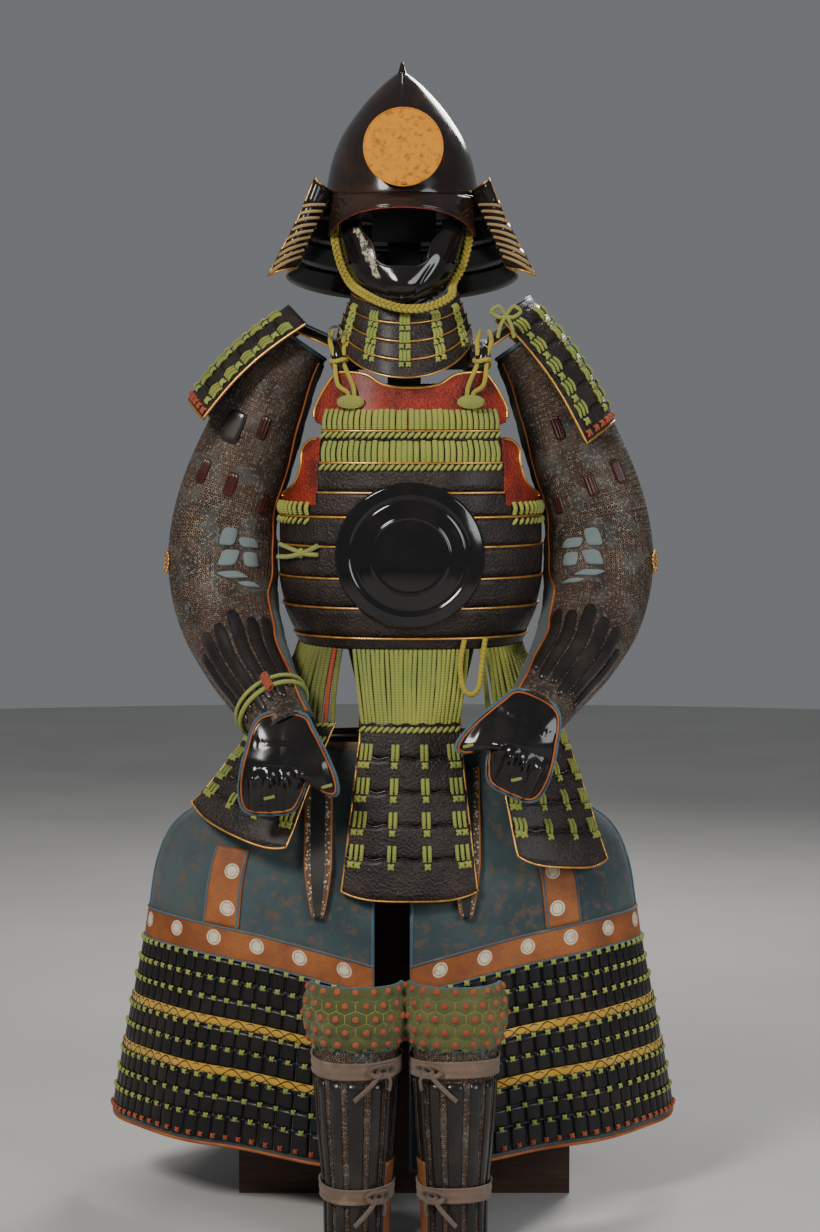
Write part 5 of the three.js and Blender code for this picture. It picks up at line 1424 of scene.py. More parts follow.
def build_arms():
    """Mail sleeves with splints, cloth windows, edges, elbow bosses and hand guards."""
    around = list(np.arange(0, 1 - 1e-9, 1 / 64))
    for side, hand in SIDES:
        def tube(s, t, lift=0, side=side):
            puff = 1.4 * math.sin(2 * math.pi * 3 * s + t) * math.sin(math.pi * min(t, 7.9) / 8)
            return sleeve_point(side, s, t, lift + puff)
        inside = tuple(sleeve_row(side, 4)[0])
        body = wall(f"sleeve_{hand}_mail", finish("mail"), lambda s, t: tube(s, t), around,
                    steps(72, 0, 8), 2,
                    around=True, inside=inside)
        stand_in(body, f"sleeve_{hand}", slot="mail_cloth")
        flat_rim = [tube(s, 8, 1.5) for s in [*around, 0]]
        rim(f"sleeve_{hand}_cuff_edge", flat_rim, 2.4, finish("mail"))
        rim(f"sleeve_{hand}_shoulder_edge", [tube(s, 0, 1.5) for s in [*around, 0]], 2.6, finish("edge"))
        parts = []

        def splint(turn, along, half_turn, half_along, ribs=0.5, rounding=0.0, skew=0.0):
            """A strip over the sleeve with ribs along it and its corners drawn in."""
            def at(s, t):
                across_turn = half_turn * s * (1 - rounding * t**4) + skew * t
                return tube(turn + across_turn, along + half_along * t * (1 - rounding * s**4))

            def rise(s, t):
                return 1.8 * (1 - s**6) * (1 - t**8) * (0.25 + 0.75 * abs(math.cos(ribs * math.pi * s)))
            return (at, steps(18, -1, 1), steps(20, -1, 1), 2.0), {"inside": inside, "lift": 1.8,
                                                                   "relief": rise}
        for k, turn in enumerate((0.595, 0.655, 0.715, 0.775, 0.835, 0.895)):
            parts.append(splint(turn, 6.6 + 0.12 * (k % 2), 0.024, 1.05 - 0.1 * abs(k - 2.5), 0.5, 0.15))
        parts.append(splint(0.82, 1.75, 0.034, 0.26, 0, 0.12))
        maroon = [splint(turn, along, 0.017, 0.19, 1.5, 0.1)
                  for turn, along in ((0.72, 1.6), (0.755, 2.6), (0.86, 2.55), (0.63, 2.75))]
        walls(f"forearm_splints_{hand}", finish("aged"), parts)
        walls(f"arm_splints_{hand}", finish("maroon"), maroon)
        windows = [splint(turn, along, wide, high, 0.4, 0.16, skew) for turn, along, wide, high, skew in
                   ((0.725, 3.58, 0.024, 0.23, 0.005), (0.66, 3.7, 0.03, 0.15, -0.006),
                    (0.72, 4.16, 0.027, 0.22, 0.007),
                    (0.65, 4.2, 0.024, 0.21, -0.005), (0.705, 4.66, 0.036, 0.12, -0.018),
                    (0.645, 5.0, 0.03, 0.10, -0.016))]
        walls(f"sleeve_windows_{hand}", finish("pale_cloth"), windows)
        def band_edge(t):
            """How far forward the inner cloth reaches, broad at the shoulder and wavy."""
            return 0.562 + 0.034 * max(0, 1 - t / 3.4) + 0.004 * math.sin(5.2 * t)

        def inner_cloth(s, t):
            return tube(lerp(0.44, band_edge(t), s), t)
        wall(f"sleeve_band_{hand}", finish("cloth"), inner_cloth, steps(14), steps(90, 0.1, 7.95), 1.6,
             inside=inside,
             lift=1.9, relief=lambda s,
             t: 0.6 * math.sin(9 * t) * math.sin(math.pi * s) + 0.3 * math.sin(23 * t + 4 * s))
        rim(f"sleeve_piping_{hand}", [tube(band_edge(t), t, 3.4) for t in steps(100, 0.1, 7.95)], 1.5,
            finish("orange"))
        dress(f"elbow_boss_{hand}", finish("gold"))
        beads = []
        for k in range(14):
            a = 2 * math.pi * k / 14
            p = sleeve_point(side, 0.965 + 0.03 * math.cos(a), 4.05 + 0.17 * math.sin(a), 4.2)
            away = p - sleeve_row(side, 4.05)[0]
            beads.append((p, away / np.linalg.norm(away), (0, 0, 1)))
        knots(f"boss_beads_{hand}", beads, dome_shape(f"bead_{hand}", 0.0032, 0.0028), finish("gold"))
        build_hand(side, hand)


def closed_line(points, count):
    """A smooth closed line through a ring of points."""
    ring = [*points[-2:], *points, *points[:3]]
    line = smooth_path(ring, count * (len(ring) - 1))
    return line[2 * count:(2 + len(points)) * count]


def build_hand(side, hand):
    """Domed hand guard with knuckle bosses and finger ridges, edged in blue cloth and orange piping."""
    middle = np.array([SLEEVE_X - 14 + side * 159, -238, 622 + HAND_LIFT[side]], dtype=float)
    roll = math.radians(24) if side > 0 else 0
    outline = closed_line([(x, 0, z) for x, z in HAND], 8)
    centre = np.array([0, 0, 5.0])

    def on_hand(p, rise=0.0):
        x = p[0] * math.cos(roll) - p[2] * math.sin(roll)
        z = p[0] * math.sin(roll) + p[2] * math.cos(roll)
        return middle + np.array([-side * x, 0.28 * max(0, z) - 0.1 * abs(x) - rise, z])

    def flat(s, t):
        return lerp(centre, outline[int(s) % len(outline)], t)

    def plate(s, t):
        return on_hand(flat(s, t), 14 * (1 - t * t))

    def bosses(s, t):
        x, _, z = flat(s, t)
        height = 1.1 * min(1, max(0, (t - 0.93) / 0.04))
        fingers = min(1, max(0, (-14 - z) / 12)) * min(1, max(0, (34 - x) / 8))
        height += fingers * (5.2 * abs(math.sin(math.pi * (x + 43) / 19)) ** 0.6 - 2.8)
        for k in range(4):
            height += 7.4 * math.exp(-((x + 33.5 - 19 * k) / 6.8) ** 2 - ((z + 19) / 8.5) ** 2)
        height += 2.6 * math.exp(-((x - 54) / 8) ** 2 - ((z + 6) / 20) ** 2)
        height -= 1.6 * math.exp(-((z + 5 + 0.1 * x) / 2.2) ** 2) * min(1, max(0, (30 - x) / 10))
        height -= 1.4 * math.exp(-((z - 26) / 2.0) ** 2)
        return height
    skin = wall(f"hand_guard_{hand}_plate", finish("black"), plate, list(range(len(outline))),
                steps(44, 0.01, 1), 2.4,
                around=True, inside=tuple(middle + np.array([0, 60, 0])), relief=bosses, poles=(0,))
    stand_in(skin, f"hand_guard_{hand}", slot="black_lacquer")
    stitches = []
    for s, t in ((72, 0.7), (32, 0.84)):
        at = plate(s, t) - np.array([0, 3.4 + bosses(s, t), 0])
        stitches.append([at + np.array([6.5 * f, 1.4 * f * f, 1.6 * f]) for f in steps(6, -1, 1)])
    laces(f"hand_guard_{hand}_stitches", stitches, 2.2, finish("lace"))
    edge = [on_hand(p, 1.0) for p in outline]
    for name, scale, back, radius, material in (("edge", 1.032, 0.3, 3.1, "edge"),
                                                ("piping", 0.992, -3.9, 1.4, "orange")):
        line = [lerp(middle, p, scale) + np.array([0, back, 0]) for p in edge]
        rim(f"hand_{name}_{hand}", line, radius, finish(material), closed=True)


def build_skirts():
    """The hanging cords under the cuirass and the laced tassets on them."""
    rng = random.Random(11)
    for name in TASSETS:
        start, end, count = SKIRTS[name]
        lines, odd = [], []
        tops = even_degrees(start, end, 2 * count, 765)[1::2]
        for k in range(count):
            high, low = (tops[k] - start) / (end - start), (k + 0.5) / count
            sway, drift = rng.uniform(-0.2, 0.2) / count, rng.uniform(-0.5, 0.6)
            path = [skirt_point(name, lerp(high, low, t) + sway * math.sin(math.pi * t), t,
                                1.0 + drift + 1.3 * math.sin(math.pi * t)) for t in steps(14)]
            (odd if name == "front_left" and k == 12 else lines).append(path)
        # The left and back skirts get the darker copy of the lacing: painted shade
        shade = finish("lace_painted_shade") if name in ("front_left", "back_left", "back") else finish("lace")
        gap = 0.5 * np.linalg.norm(skirt_point(name, 1, 0.5) - skirt_point(name, 0, 0.5)) / count
        cords = laces(f"skirt_{name}_cords", lines, gap * 1.06, shade, 10, 0.85)
        stand_in(cords, f"skirt_{name}", slot="lacing")
        if odd:
            laces(f"skirt_{name}_orange_cord", odd, gap * 0.9, finish("orange_lace"))

        def tasset(s, t, lift=0, name=name):
            return tasset_point(name, s, t, lift)
        row = TASSETS[name]
        heading = math.radians(row["heading"])
        out = np.array([math.sin(heading), -math.cos(heading), 0])
        inside = tuple(np.array(row["top"], dtype=float) - 150 * out - np.array([0, 0, 100]))
        across = steps(72)
        wave = 0.006
        plates = walls(f"tasset_{name}_lames", finish("hide"),
                       lame_parts(tasset, TASSET_LAMES, across, wave=wave, waves=12, inside=inside))
        stand_in(plates, f"tasset_{name}", slot="grained_hide")
        edges = [edge_line(tasset, t, across, 4.0, wave, 12) for t in TASSET_LAMES[:-1]]
        laces(f"tasset_{name}_edges", edges, 1.2, finish("aged"))
        foot = [tasset(0.0, t, 2.2) for t in steps(30)] + [tasset(s, 1, 1.4) for s in across[1:]] + \
            [tasset(1.0, t, 2.2) for t in steps(30, 1, 0)]
        rim(f"tasset_{name}_border", foot, 1.5, finish("gold"))
        slants, crosses, loops = [], [], []
        number = max(12, int(np.linalg.norm(tasset(1, 0) - tasset(0, 0)) / 7.6))
        for k in range(number):
            slants.append(spot(tasset, (k + 0.5) / number, 0.035, 3.8, inside))
        for t in TASSET_LAMES[1:-1]:
            for s, width in ((0.08, 3), (0.36, 2), (0.64, 2), (0.92, 3)):
                for j in range(width):
                    shift = (j - (width - 1) / 2) * 0.042
                    loops.append(loop(tasset, s + shift, t + 0.012, t - 0.075, 3.0, 2.6))
                inward = 1 if s < 0.5 else -1
                aside = 0.022 * inward if width == 3 else 0
                crosses.append(spot(tasset, s + aside, t + 0.045, 3.4, inside))
                if width == 3:
                    crosses.append(spot(tasset, s - 0.03 * inward, t + 0.045, 3.2, inside))
        laces(f"tasset_{name}_lacing", loops, 2.7, finish("lace"), flatness=0.85)
        knots(f"tasset_{name}_cross_knots", crosses, crossed_knot(f"cross_{name}", 0.0056, 0.003),
              finish("lace"))
        knots(f"tasset_{name}_slanted_stitches", slants,
              puffed_bar(f"bar_{name}", 0.0058, 0.0026, 0.0024, math.radians(42)),
              finish("lace"), 0.05)


def build_thighs():
    """Waistband, apron halves of cloth, their leather bindings, lacquered lower rows and tongues."""
    def band(s, t):
        angle = math.radians(s)
        a, b = bend(math.sin(angle)), bend(math.cos(angle))
        return np.array([THIGH_X + 152.5 * a, -(109.2 if b > 0 else 70) * b, lerp(600, 634, t)])
    around = list(np.arange(0, 360, 4.0))
    belt = wall("waistband_cloth", finish("hemp"), band, around, steps(8), 3, around=True,
                inside=(THIGH_X, 0, 617),
                relief=lambda s, t: 0.5 * math.cos(6 * math.pi * t) - 0.4)
    stand_in(belt, "waistband", slot="hemp")
    for side, hand in SIDES:
        def apron(s, z, lift=0, side=side):
            return thigh_point(side, s, z, lift)
        inside = tuple(thigh_point(side, 0.4, 340) * np.array([0.4, 0.0, 1.0]))
        cloth = wall(f"thigh_cloth_{hand}_weave", finish("cloth"), lambda s, z: apron(s, z), steps(120),
                     steps(60, 100, 622), 2,
                     inside=inside, relief=lambda s,
                     z: 0.35 * math.sin(28 * s + 0.03 * z) * math.sin(0.05 * z))
        stand_in(cloth, f"thigh_cloth_{hand}", slot="blue_cloth")
        edges = [[apron(s, z, 2) for z in steps(60, 100, 622)] for s in (0.003, 0.997)]
        laces(f"thigh_edge_{hand}", edges, 2.6, finish("edge"))
        rim(f"thigh_hem_{hand}", [apron(s, 100.5, 1) for s in steps(90)], 2.6, finish("orange"))

        band_parts = [((apron, steps(100), steps(10, 358, 400), 2.0), {"inside": inside, "lift": 2.5}),
                      ((apron, steps(14, 0.47, 0.6), steps(20, 400.4, 500), 2.0),
                       {"inside": inside, "lift": 2.5})]
        leather = walls(f"thigh_leather_{hand}_belt", finish("belt"), band_parts)
        stand_in(leather, f"thigh_leather_{hand}", slot="orange_leather")
        lines = [[apron(s, z, 4.8) for s in steps(100)] for z in (359, 399)]
        lines += [[apron(s, z, 4.8) for z in steps(24, 400, 500)] for s in (0.474, 0.596)]
        laces(f"thigh_belt_edges_{hand}", lines, 1.5, finish("edge"))
        levels = (357.7, 331, 304, 277, 264, 237, 210, 197, 170, 143, 108)
        golden = (3, 6)
        columns = 22
        wide = 0.96 / columns
        plates, green, red, strips, stitches = [], [], [], [], []
        for row, (top, foot) in enumerate(zip(levels[:-1], levels[1:])):
            if row in golden:
                strips.append(((apron, steps(90, 0.015, 0.985), steps(6, foot + 0.5, top - 0.5), 1.6),
                               {"inside": inside, "lift": 3.0,
                                "relief": lambda s, z, m=(top + foot) / 2,
                                h=(top - foot) / 2: 1.4 * (1 - ((z - m) / h) ** 2)}))
                for way in (-1, 1):
                    stitches.append([apron(f,
                                           (top + foot) / 2 + way * (top - foot - 2) / 2 * math.sin(26 * math.pi * f),
                                           5.7 + 0.3 * way) for f in steps(208, 0.02, 0.98)])
                continue
            for k in range(columns):
                low = 0.02 + wide * k

                def raised(s, z, low=low, top=top, foot=foot):
                    rise = 0.9 * math.sin(math.pi * (s - low) / (wide * 0.92))
                    return rise + 0.6 * (z - foot) / (top - foot)
                plates.append(((apron, steps(5, low, low + wide * 0.92), steps(5, foot, top - 2.5), 1.6),
                               {"inside": inside, "lift": 2.4, "relief": raised}))
                green.append(spot(apron, low + (0.5 * wide if row % 2 else 0), top - 3, 5.0, inside, 0.01,
                                  2))
        rows_of = walls(f"thigh_plates_{hand}", finish("plate"), plates)
        stand_in(rows_of, f"thigh_splints_{hand}", slot="black_lacquer")
        walls(f"thigh_gold_rows_{hand}", finish("yellow"), strips)
        laces(f"thigh_gold_stitches_{hand}", stitches, 0.8, finish("hide"), 6)
        for k in range(26):
            red.append(spot(apron, 0.035 + 0.93 * k / 25, 113, 5.0, inside, 0.01, 2))
        knots(f"thigh_green_knots_{hand}", green, crossed_knot(f"thigh_cross_{hand}", 0.0046, 0.0024),
              finish("lace"))
        knots(f"thigh_red_knots_{hand}", red, crossed_knot(f"thigh_red_{hand}", 0.0044, 0.0024),
              finish("orange_lace"))

        def tongue(s, z, side=side):
            """A strip in front of the apron that narrows to a round tip."""
            x = THIGH_X + side * 100 + 19 * s * lerp(0.3, 1, min(1, max(0, (z - 405) / 70)) ** 0.6)
            low, high = 0.6, 0.999
            for _ in range(24):
                mid = (low + high) / 2
                p = thigh_point(side, mid, z)
                if (p[0] - x) * side > 0:
                    low = mid
                else:
                    high = mid
            return np.array([x, thigh_point(side, low, z)[1] - 2.5, z])
        flap = wall(f"hip_tongue_{hand}_cloth", finish("tongue"), tongue, steps(16, -1, 1),
                    steps(48, 405, 600), 3,
                    inside=tuple(tongue(0, 500) + np.array([0, 60, 0])))
        stand_in(flap, f"hip_tongue_{hand}", slot="blue_cloth")


def build_shins():
    """Splinted shin guards with mail between, bands with knots, and quilted knee pads."""
    for side, hand in SIDES:
        middle = (SHIN_X + side * SHIN_APART, SHIN_Y, 140)

        def shin(s, z, lift=0, side=side):
            return shin_point(side, s, z, lift)
        body = wall(f"shin_guard_{hand}_mail", finish("mail"), lambda s, z: shin(s, z),
                    steps(96, -138, 138),
                    steps(40, 0, SHIN_TOP), 3, inside=middle)
        stand_in(body, f"shin_guard_{hand}", slot="mail_cloth")
        plates = []
        for k in range(9):
            centre = -104 + 26 * k
            plates.append(((lambda s, z: shin(s, z), steps(6, centre - 8.2, centre + 8.2),
                            steps(20, 8, 220), 1.6),
                           {"inside": middle, "lift": 2.9,
                            "relief": lambda s, z, c=centre: 1.5 * math.cos(math.pi * (s - c) / 17)}))
        walls(f"shin_splints_{hand}", finish("aged"), plates)
        patch = [((lambda s, z: shin(s, z), steps(10, -side * 66 - 18, -side * 66 + 18),
                   steps(16, 4, 112), 1.8),
                  {"inside": middle, "lift": 4.6})]
        walls(f"shin_patch_{hand}", finish("tan"), patch)
        edge = [shin(-138, z, 2) for z in steps(20, 0, SHIN_TOP)] + [shin(s, SHIN_TOP,
                2) for s in steps(50, -138, 138)] + \
            [shin(138, z, 2) for z in steps(20, SHIN_TOP, 0)]
        rim(f"shin_edge_{hand}", edge, 2.2, finish("edge"))

        def knee(s, z, lift=0, side=side):
            t = (z - 262.3) / (344 - 262.3)
            return shin_point(side, s, min(z, 262),
                              lift + 12 * math.sin(math.pi * t * 0.9)) + np.array([0, 0, max(0, z - 262)])

        def cell_of(j, k):
            """The middle of one quilted cell: degrees round the knee, and height."""
            return (k + (0.5 if j % 2 else 0)) * 18.0, 275 + 16.0 * j

        def quilting(s, z):
            j = (z - 275) / 16.0
            near = 999.0
            for row in (math.floor(j), math.floor(j) + 1):
                k = round(s / 18.0 - (0.5 if row % 2 else 0))
                u, v = cell_of(row, k)
                near = min(near, (s - u) ** 2 + (z - v) ** 2)
            return 3.8 * math.sqrt(max(0.02, 1 - near / 108)) - 0.8

        def whole(s, z):
            """True above the frayed lower edge."""
            frayed = 1.8 * math.sin(0.21 * s + side) + 1.4 * math.sin(0.53 * s) + 0.9 * math.sin(1.7 * s)
            return z > 265 + frayed
        pad = wall(f"knee_pad_{hand}_quilt", finish("quilt"), lambda s, z: knee(s, z), steps(150, -78, 78),
                   steps(84, 262.3, 344), 4, inside=(middle[0], middle[1], 300), relief=quilting,
                   keep=whole)
        stand_in(pad, f"knee_pad_{hand}", slot="green_quilt")
        border = [knee(-78, z, 2) for z in steps(16, 267, 344)] + [knee(s, 344, 2) for s in steps(50, -78,
                                                                                                  78)] + \
            [knee(78, z, 2) for z in steps(16, 344, 267)]
        rim(f"knee_border_{hand}", border, 3.0, finish("edge"))
        ties, seams = [], []
        for j in range(5):
            for k in range(-5, 6):
                turn, level = cell_of(j, k)
                if abs(turn) < 74:
                    ties.append(spot(knee, turn, level, 6.6, (middle[0], middle[1], 300), 1, 1))
                corners = [(turn - 9, level + 5.47), (turn, level + 10.53), (turn + 9, level + 5.47),
                           (turn + 9, level - 5.47)]
                for (u, v), (x, y) in zip(corners[:-1], corners[1:]):
                    if max(abs(u), abs(x)) < 77 and max(v, y) < 343 and min(v, y) > 270:
                        line = [(lerp(u, x, f), lerp(v, y, f)) for f in steps(4)]
                        seams.append([knee(s, z, 4.2 + quilting(s, z)) for s, z in line])
        laces(f"knee_seams_{hand}", seams, 0.65, finish("cord"), 5)
        knots(f"knee_knots_{hand}", ties, dome_shape(f"knee_knot_{hand}", 0.0044, 0.003, 10),
              finish("orange_lace"))
        for name, z, high, lift in (("upper", 226, 22, 4.2), ("lower", 60, 20, 6.7)):
            def tie(s, t, z=z, high=high, lift=lift):
                return shin(s, lerp(z, z + high, t) + 1.4 * math.sin(math.radians(2 * s + 60 * side)),
                            lift + 0.4)
            strip = wall(f"shin_tie_{name}_{hand}_band", finish("hemp"), tie,
                         list(np.arange(0, 360, 5.0)), steps(10), 2.8,
                         around=True, inside=middle, relief=lambda s,
                         t: 0.5 * math.cos(4 * math.pi * t) - 0.3)
            stand_in(strip, f"shin_tie_{name}_{hand}", slot="hemp")

            def by_knot(turn, rise, out, side=side, z=z + high / 2, lift=lift):
                return shin(-side * 30 + turn, z + rise, lift + out)
            bow = [[by_knot(11 * math.cos(a) + shift, 7 * math.sin(a), 5 + 4 * abs(math.sin(a)))
                    for a in steps(14, 0, 2 * math.pi)] for shift in (-5, 5)]
            for tail in (((3, -3, 8), (15, -17, 10), (31, -38, 7)),
                         ((-4, -3, 8), (-9, -13, 10), (-10, -26, 7))):
                bow.append(smooth_path([by_knot(side * turn, rise, out) for turn, rise, out in tail], 12))
            laces(f"shin_knot_{name}_{hand}", bow, 4.2, finish("hemp"), 10, 0.6)


# Operators
class ArmourSizes(bpy.types.PropertyGroup):
    lacing_colour: FloatVectorProperty(
        name="Lacing colour", description="Colour of the green silk lacing", default=(0.44, 0.435, 0.072),
        size=3,
        subtype="COLOR", min=0, max=1)
    cord_colour: FloatVectorProperty(
        name="Cord colour", description="Colour of the thick cords at the chin and the waist",
        default=(0.52, 0.41, 0.035), size=3, subtype="COLOR", min=0, max=1)
    red_colour: FloatVectorProperty(
        name="Red hide colour", description="Colour of the stippled plates on the chest",
        default=(0.36, 0.030, 0.012),
        size=3, subtype="COLOR", min=0, max=1)
    chin_radius: FloatProperty(
        name="Chin cord radius", description="Radius of the plaited chin cord", default=0.0064, min=0.004,
        max=0.009,
        subtype="DISTANCE", unit="LENGTH")
    stitch_seed: IntProperty(
        name="Stitch seed", description="Seed of the small differences between stitches", default=3,
        min=0, max=99)


def place_camera():
    data = bpy.data.cameras.new("view_camera")
    data.lens = 83.5
    data.sensor_width = 36
    data.clip_end = 30
    camera = bpy.data.objects.new("view_camera", data)
    bpy.context.collection.objects.link(camera)
    camera.location = (0.024, -3.958, 1.10)
    camera.rotation_euler = (math.radians(85.7), 0, 0)
    bpy.context.scene.camera = camera


def place_light(name, spot_at, target, size, energy, colour):
    data = bpy.data.lights.new(name, "AREA")
    data.shape = "DISK"
    data.size = size
    data.energy = energy
    data.color = colour
    light = bpy.data.objects.new(name, data)
    bpy.context.collection.objects.link(light)
    light.location = spot_at
    light.rotation_euler = (Vector(target) - Vector(spot_at)).to_track_quat("-Z", "Y").to_euler()


def build_stage():
    floor = bpy.data.meshes.new("pale_floor")
    ring = [(6.4 * math.cos(a), 6.4 * math.sin(a), 0) for a in steps(96, 0, 2 * math.pi)[:-1]]
    floor.from_pydata(ring, [], [tuple(range(96))])
    pale = Finish("pale floor")
    pale.surface(pale.mix(pale.ramp(pale.noise(2), 0.3, 0.7), (0.52, 0.51, 0.49), (0.56, 0.55, 0.53)), 0.85)
    ground = bpy.data.objects.new("pale_floor", floor)
    floor.materials.append(pale.material)
    bpy.context.collection.objects.link(ground)
    place_light("key_light", (-1.7, -2.6, 2.9), (0, 0, 0.9), 1.1, 95, (1.0, 0.97, 0.92))
    place_light("fill_light", (2.4, -2.4, 1.7), (0, 0, 0.8), 1.6, 42, (0.93, 0.96, 1.0))
    place_light("rim_light", (0.8, 2.2, 2.6), (0, 0, 1.1), 1.2, 60, (1.0, 0.98, 0.95))
    world = bpy.data.worlds.new("soft_room")
    world.use_nodes = True
    world.node_tree.nodes["Background"].inputs[0].default_value = (0.75, 0.78, 0.82, 1)
    world.node_tree.nodes["Background"].inputs[1].default_value = 0.22
    bpy.context.scene.world = world


def build_cords():
    """The chin cord, wrist cord and waist loop as plaited cords."""
    def side_line(sign):
        line = [np.array([HEAD_X + sign * 91.4, -46.4, 1373.5]),
                np.array([HEAD_X + sign * 92.8, -47, 1346])]
        return line + [mask_point(sign * 84, 1318, 8.3), mask_point(sign * 80, 1284, 8.3),
                       mask_point(sign * 72, 1260, 8.3)]
    below = [(-56, -108, 1246), (-30, -134, 1232), (0, -142, 1224), (32, -139, 1226), (62, -116, 1241)]
    path = smooth_path([*side_line(-1), *[np.array(p, dtype=float) for p in below], *side_line(1)[::-1]],
                       160)
    chin_radius = bpy.context.scene.armour_sizes.chin_radius / MM
    chin = laces("chin_braid", plait(path, 4.0, 3.0, 21), chin_radius * 0.38, finish("cord"), 9)
    stand_in(chin, "chin_cord", slot="yellow_braid")
    ring = [sleeve_point(-1, 0.25 + 1.02 * f, 7.28 + 0.16 * f, 6.2) for f in steps(60)]
    wrist = laces("wrist_braid", [ring], 3.2, finish("lace"), 12)
    stand_in(wrist, "wrist_cord", slot="lacing")
    second = [sleeve_point(-1, 0.27 + 0.96 * f, 7.13 + 0.16 * f, 6.0) for f in steps(60)]
    laces("wrist_braid_second", [second], 2.9, finish("lace"), 12)
    knot = [sleeve_point(-1, 0.7 + 0.012 * math.cos(a), 7.28 + 0.02 * math.cos(a) + 0.06 * k,
                         9 + 5 * math.sin(a))
            for k in (-2, -1, 0, 1, 2) for a in steps(10, 0, 2 * math.pi)]
    laces("wrist_wrap", [knot[i * 11:(i + 1) * 11] for i in range(5)], 2.6, finish("orange_lace"), 8)
    spots = [on_torso(79, 779, 7.2), np.array([76, -153, 745.0]), np.array([80, -155, 714.0]),
             np.array([91, -154, 704.0]),
             np.array([101, -149, 714.0]), np.array([105, -143, 742.0]), on_torso(106, 779, 7.2)]
    line = smooth_path(spots, 60)
    waist = laces("waist_loop_braid", [line], 3.6, finish("cord"), 14)
    stand_in(waist, "waist_loop", slot="yellow_braid")


class Maker:
    """What every operator shares: it runs its own make function, with an undo step."""
    bl_options = {"REGISTER", "UNDO"}

    def execute(self, context):
        self.make()
        return {"FINISHED"}


class OBJECT_OT_armour_finishes(Maker, bpy.types.Operator):
    """Make the lacquers, metals, cloths and cords that the pieces wear"""
    bl_idname = "object.armour_finishes"
    bl_label = "Finishes"

    make = staticmethod(fill_finishes)


class OBJECT_OT_armour_camera(Maker, bpy.types.Operator):
    """Put the camera at the height and distance of the display view"""
    bl_idname = "object.armour_camera"
    bl_label = "Camera"

    make = staticmethod(place_camera)


class OBJECT_OT_armour_cords(Maker, bpy.types.Operator):
    """Plait the chin cord, wrist cord and waist loop"""
    bl_idname = "object.armour_cords"
    bl_label = "Cords"

    make = staticmethod(build_cords)


class OBJECT_OT_armour_stage(Maker, bpy.types.Operator):
    """Lay the pale floor and set the studio lights"""
    bl_idname = "object.armour_stage"
    bl_label = "Floor and lights"

    make = staticmethod(build_stage)


class OBJECT_OT_armour_stand(Maker, bpy.types.Operator):
    """Stain the chest, its lid and the post, and paint shade near black on the post's head"""
    bl_idname = "object.armour_stand"
    bl_label = "Chest and post"

    make = staticmethod(build_stand)


class OBJECT_OT_armour_helmet(Maker, bpy.types.Operator):
    """Make the ridged helmet bowl with its visor and disc"""
    bl_idname = "object.armour_helmet"
    bl_label = "Helmet"

    make = staticmethod(build_helmet)


class OBJECT_OT_armour_neck(Maker, bpy.types.Operator):
    """Make the neck guard's lames and the turned-back flaps"""
    bl_idname = "object.armour_neck"
    bl_label = "Neck guard"

    make = staticmethod(build_neck)


class OBJECT_OT_armour_face(Maker, bpy.types.Operator):
    """Make the face guard and the throat guard"""
    bl_idname = "object.armour_face"
    bl_label = "Face and throat"

    make = staticmethod(build_face)


class OBJECT_OT_armour_cuirass(Maker, bpy.types.Operator):
    """Make the cuirass with its plates, round plate and lacing"""
    bl_idname = "object.armour_cuirass"
    bl_label = "Cuirass"

    make = staticmethod(build_cuirass)


class OBJECT_OT_armour_shoulders(Maker, bpy.types.Operator):
    """Make the straps, toggles, wings and shoulder guards"""
    bl_idname = "object.armour_shoulders"
    bl_label = "Shoulders"

    make = staticmethod(build_shoulders)


class OBJECT_OT_armour_arms(Maker, bpy.types.Operator):
    """Make the mail sleeves, their splints and the hand guards"""
    bl_idname = "object.armour_arms"
    bl_label = "Sleeves and hands"

    make = staticmethod(build_arms)


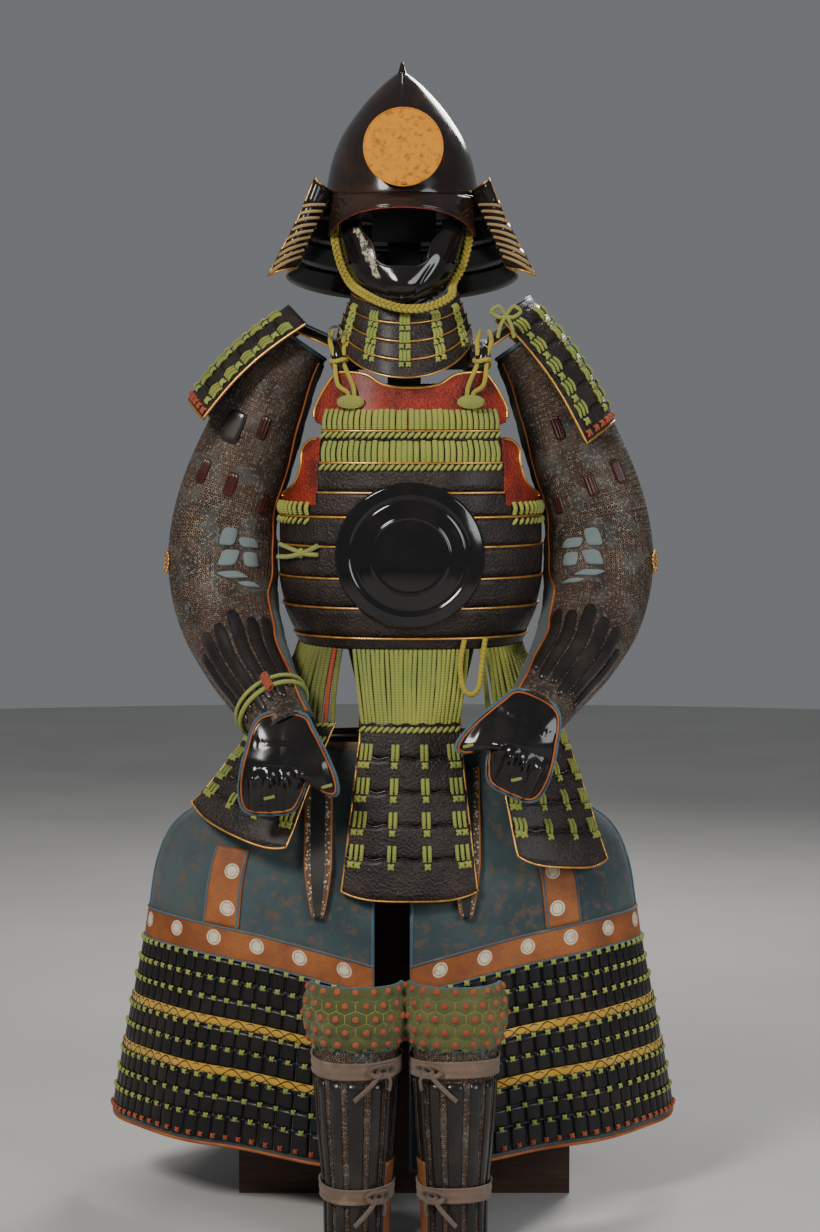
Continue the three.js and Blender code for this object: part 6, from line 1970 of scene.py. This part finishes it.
class OBJECT_OT_armour_skirts(Maker, bpy.types.Operator):
    """Hang the lacing skirts and the tassets"""
    bl_idname = "object.armour_skirts"
    bl_label = "Skirts and tassets"

    make = staticmethod(build_skirts)


class OBJECT_OT_armour_thighs(Maker, bpy.types.Operator):
    """Make the thigh guards with their belts, plates and tongues"""
    bl_idname = "object.armour_thighs"
    bl_label = "Thigh guards"

    make = staticmethod(build_thighs)


class OBJECT_OT_armour_shins(Maker, bpy.types.Operator):
    """Make the shin guards, knee pads and their bands"""
    bl_idname = "object.armour_shins"
    bl_label = "Shin guards"

    make = staticmethod(build_shins)


MAKERS = (
    OBJECT_OT_armour_finishes, OBJECT_OT_armour_camera, OBJECT_OT_armour_cords, OBJECT_OT_armour_stage,
    OBJECT_OT_armour_stand, OBJECT_OT_armour_helmet, OBJECT_OT_armour_neck, OBJECT_OT_armour_face,
    OBJECT_OT_armour_cuirass, OBJECT_OT_armour_shoulders, OBJECT_OT_armour_arms, OBJECT_OT_armour_skirts,
    OBJECT_OT_armour_thighs, OBJECT_OT_armour_shins,
)


class VIEW3D_PT_armour(bpy.types.Panel):
    """Sizes and colours of the armour, and a button for each group of pieces"""
    bl_idname = "VIEW3D_PT_armour"
    bl_label = "Armour"
    bl_space_type = "VIEW_3D"
    bl_region_type = "UI"
    bl_category = "Armour"

    def draw(self, context):
        sizes = context.scene.armour_sizes
        for label in ("lacing_colour", "cord_colour", "red_colour", "chin_radius", "stitch_seed"):
            self.layout.prop(sizes, label)
        for maker in MAKERS:
            self.layout.operator(maker.bl_idname)


def register():
    for kind in (ArmourSizes, *MAKERS, VIEW3D_PT_armour):
        bpy.utils.register_class(kind)
    bpy.types.Scene.armour_sizes = PointerProperty(type=ArmourSizes)


def unregister():
    del bpy.types.Scene.armour_sizes
    for kind in reversed((ArmourSizes, *MAKERS, VIEW3D_PT_armour)):
        bpy.utils.unregister_class(kind)


def main():
    register()
    for maker in MAKERS:
        group, name = maker.bl_idname.split(".")
        getattr(getattr(bpy.ops, group), name)()


if __name__ == "__main__":
    main()
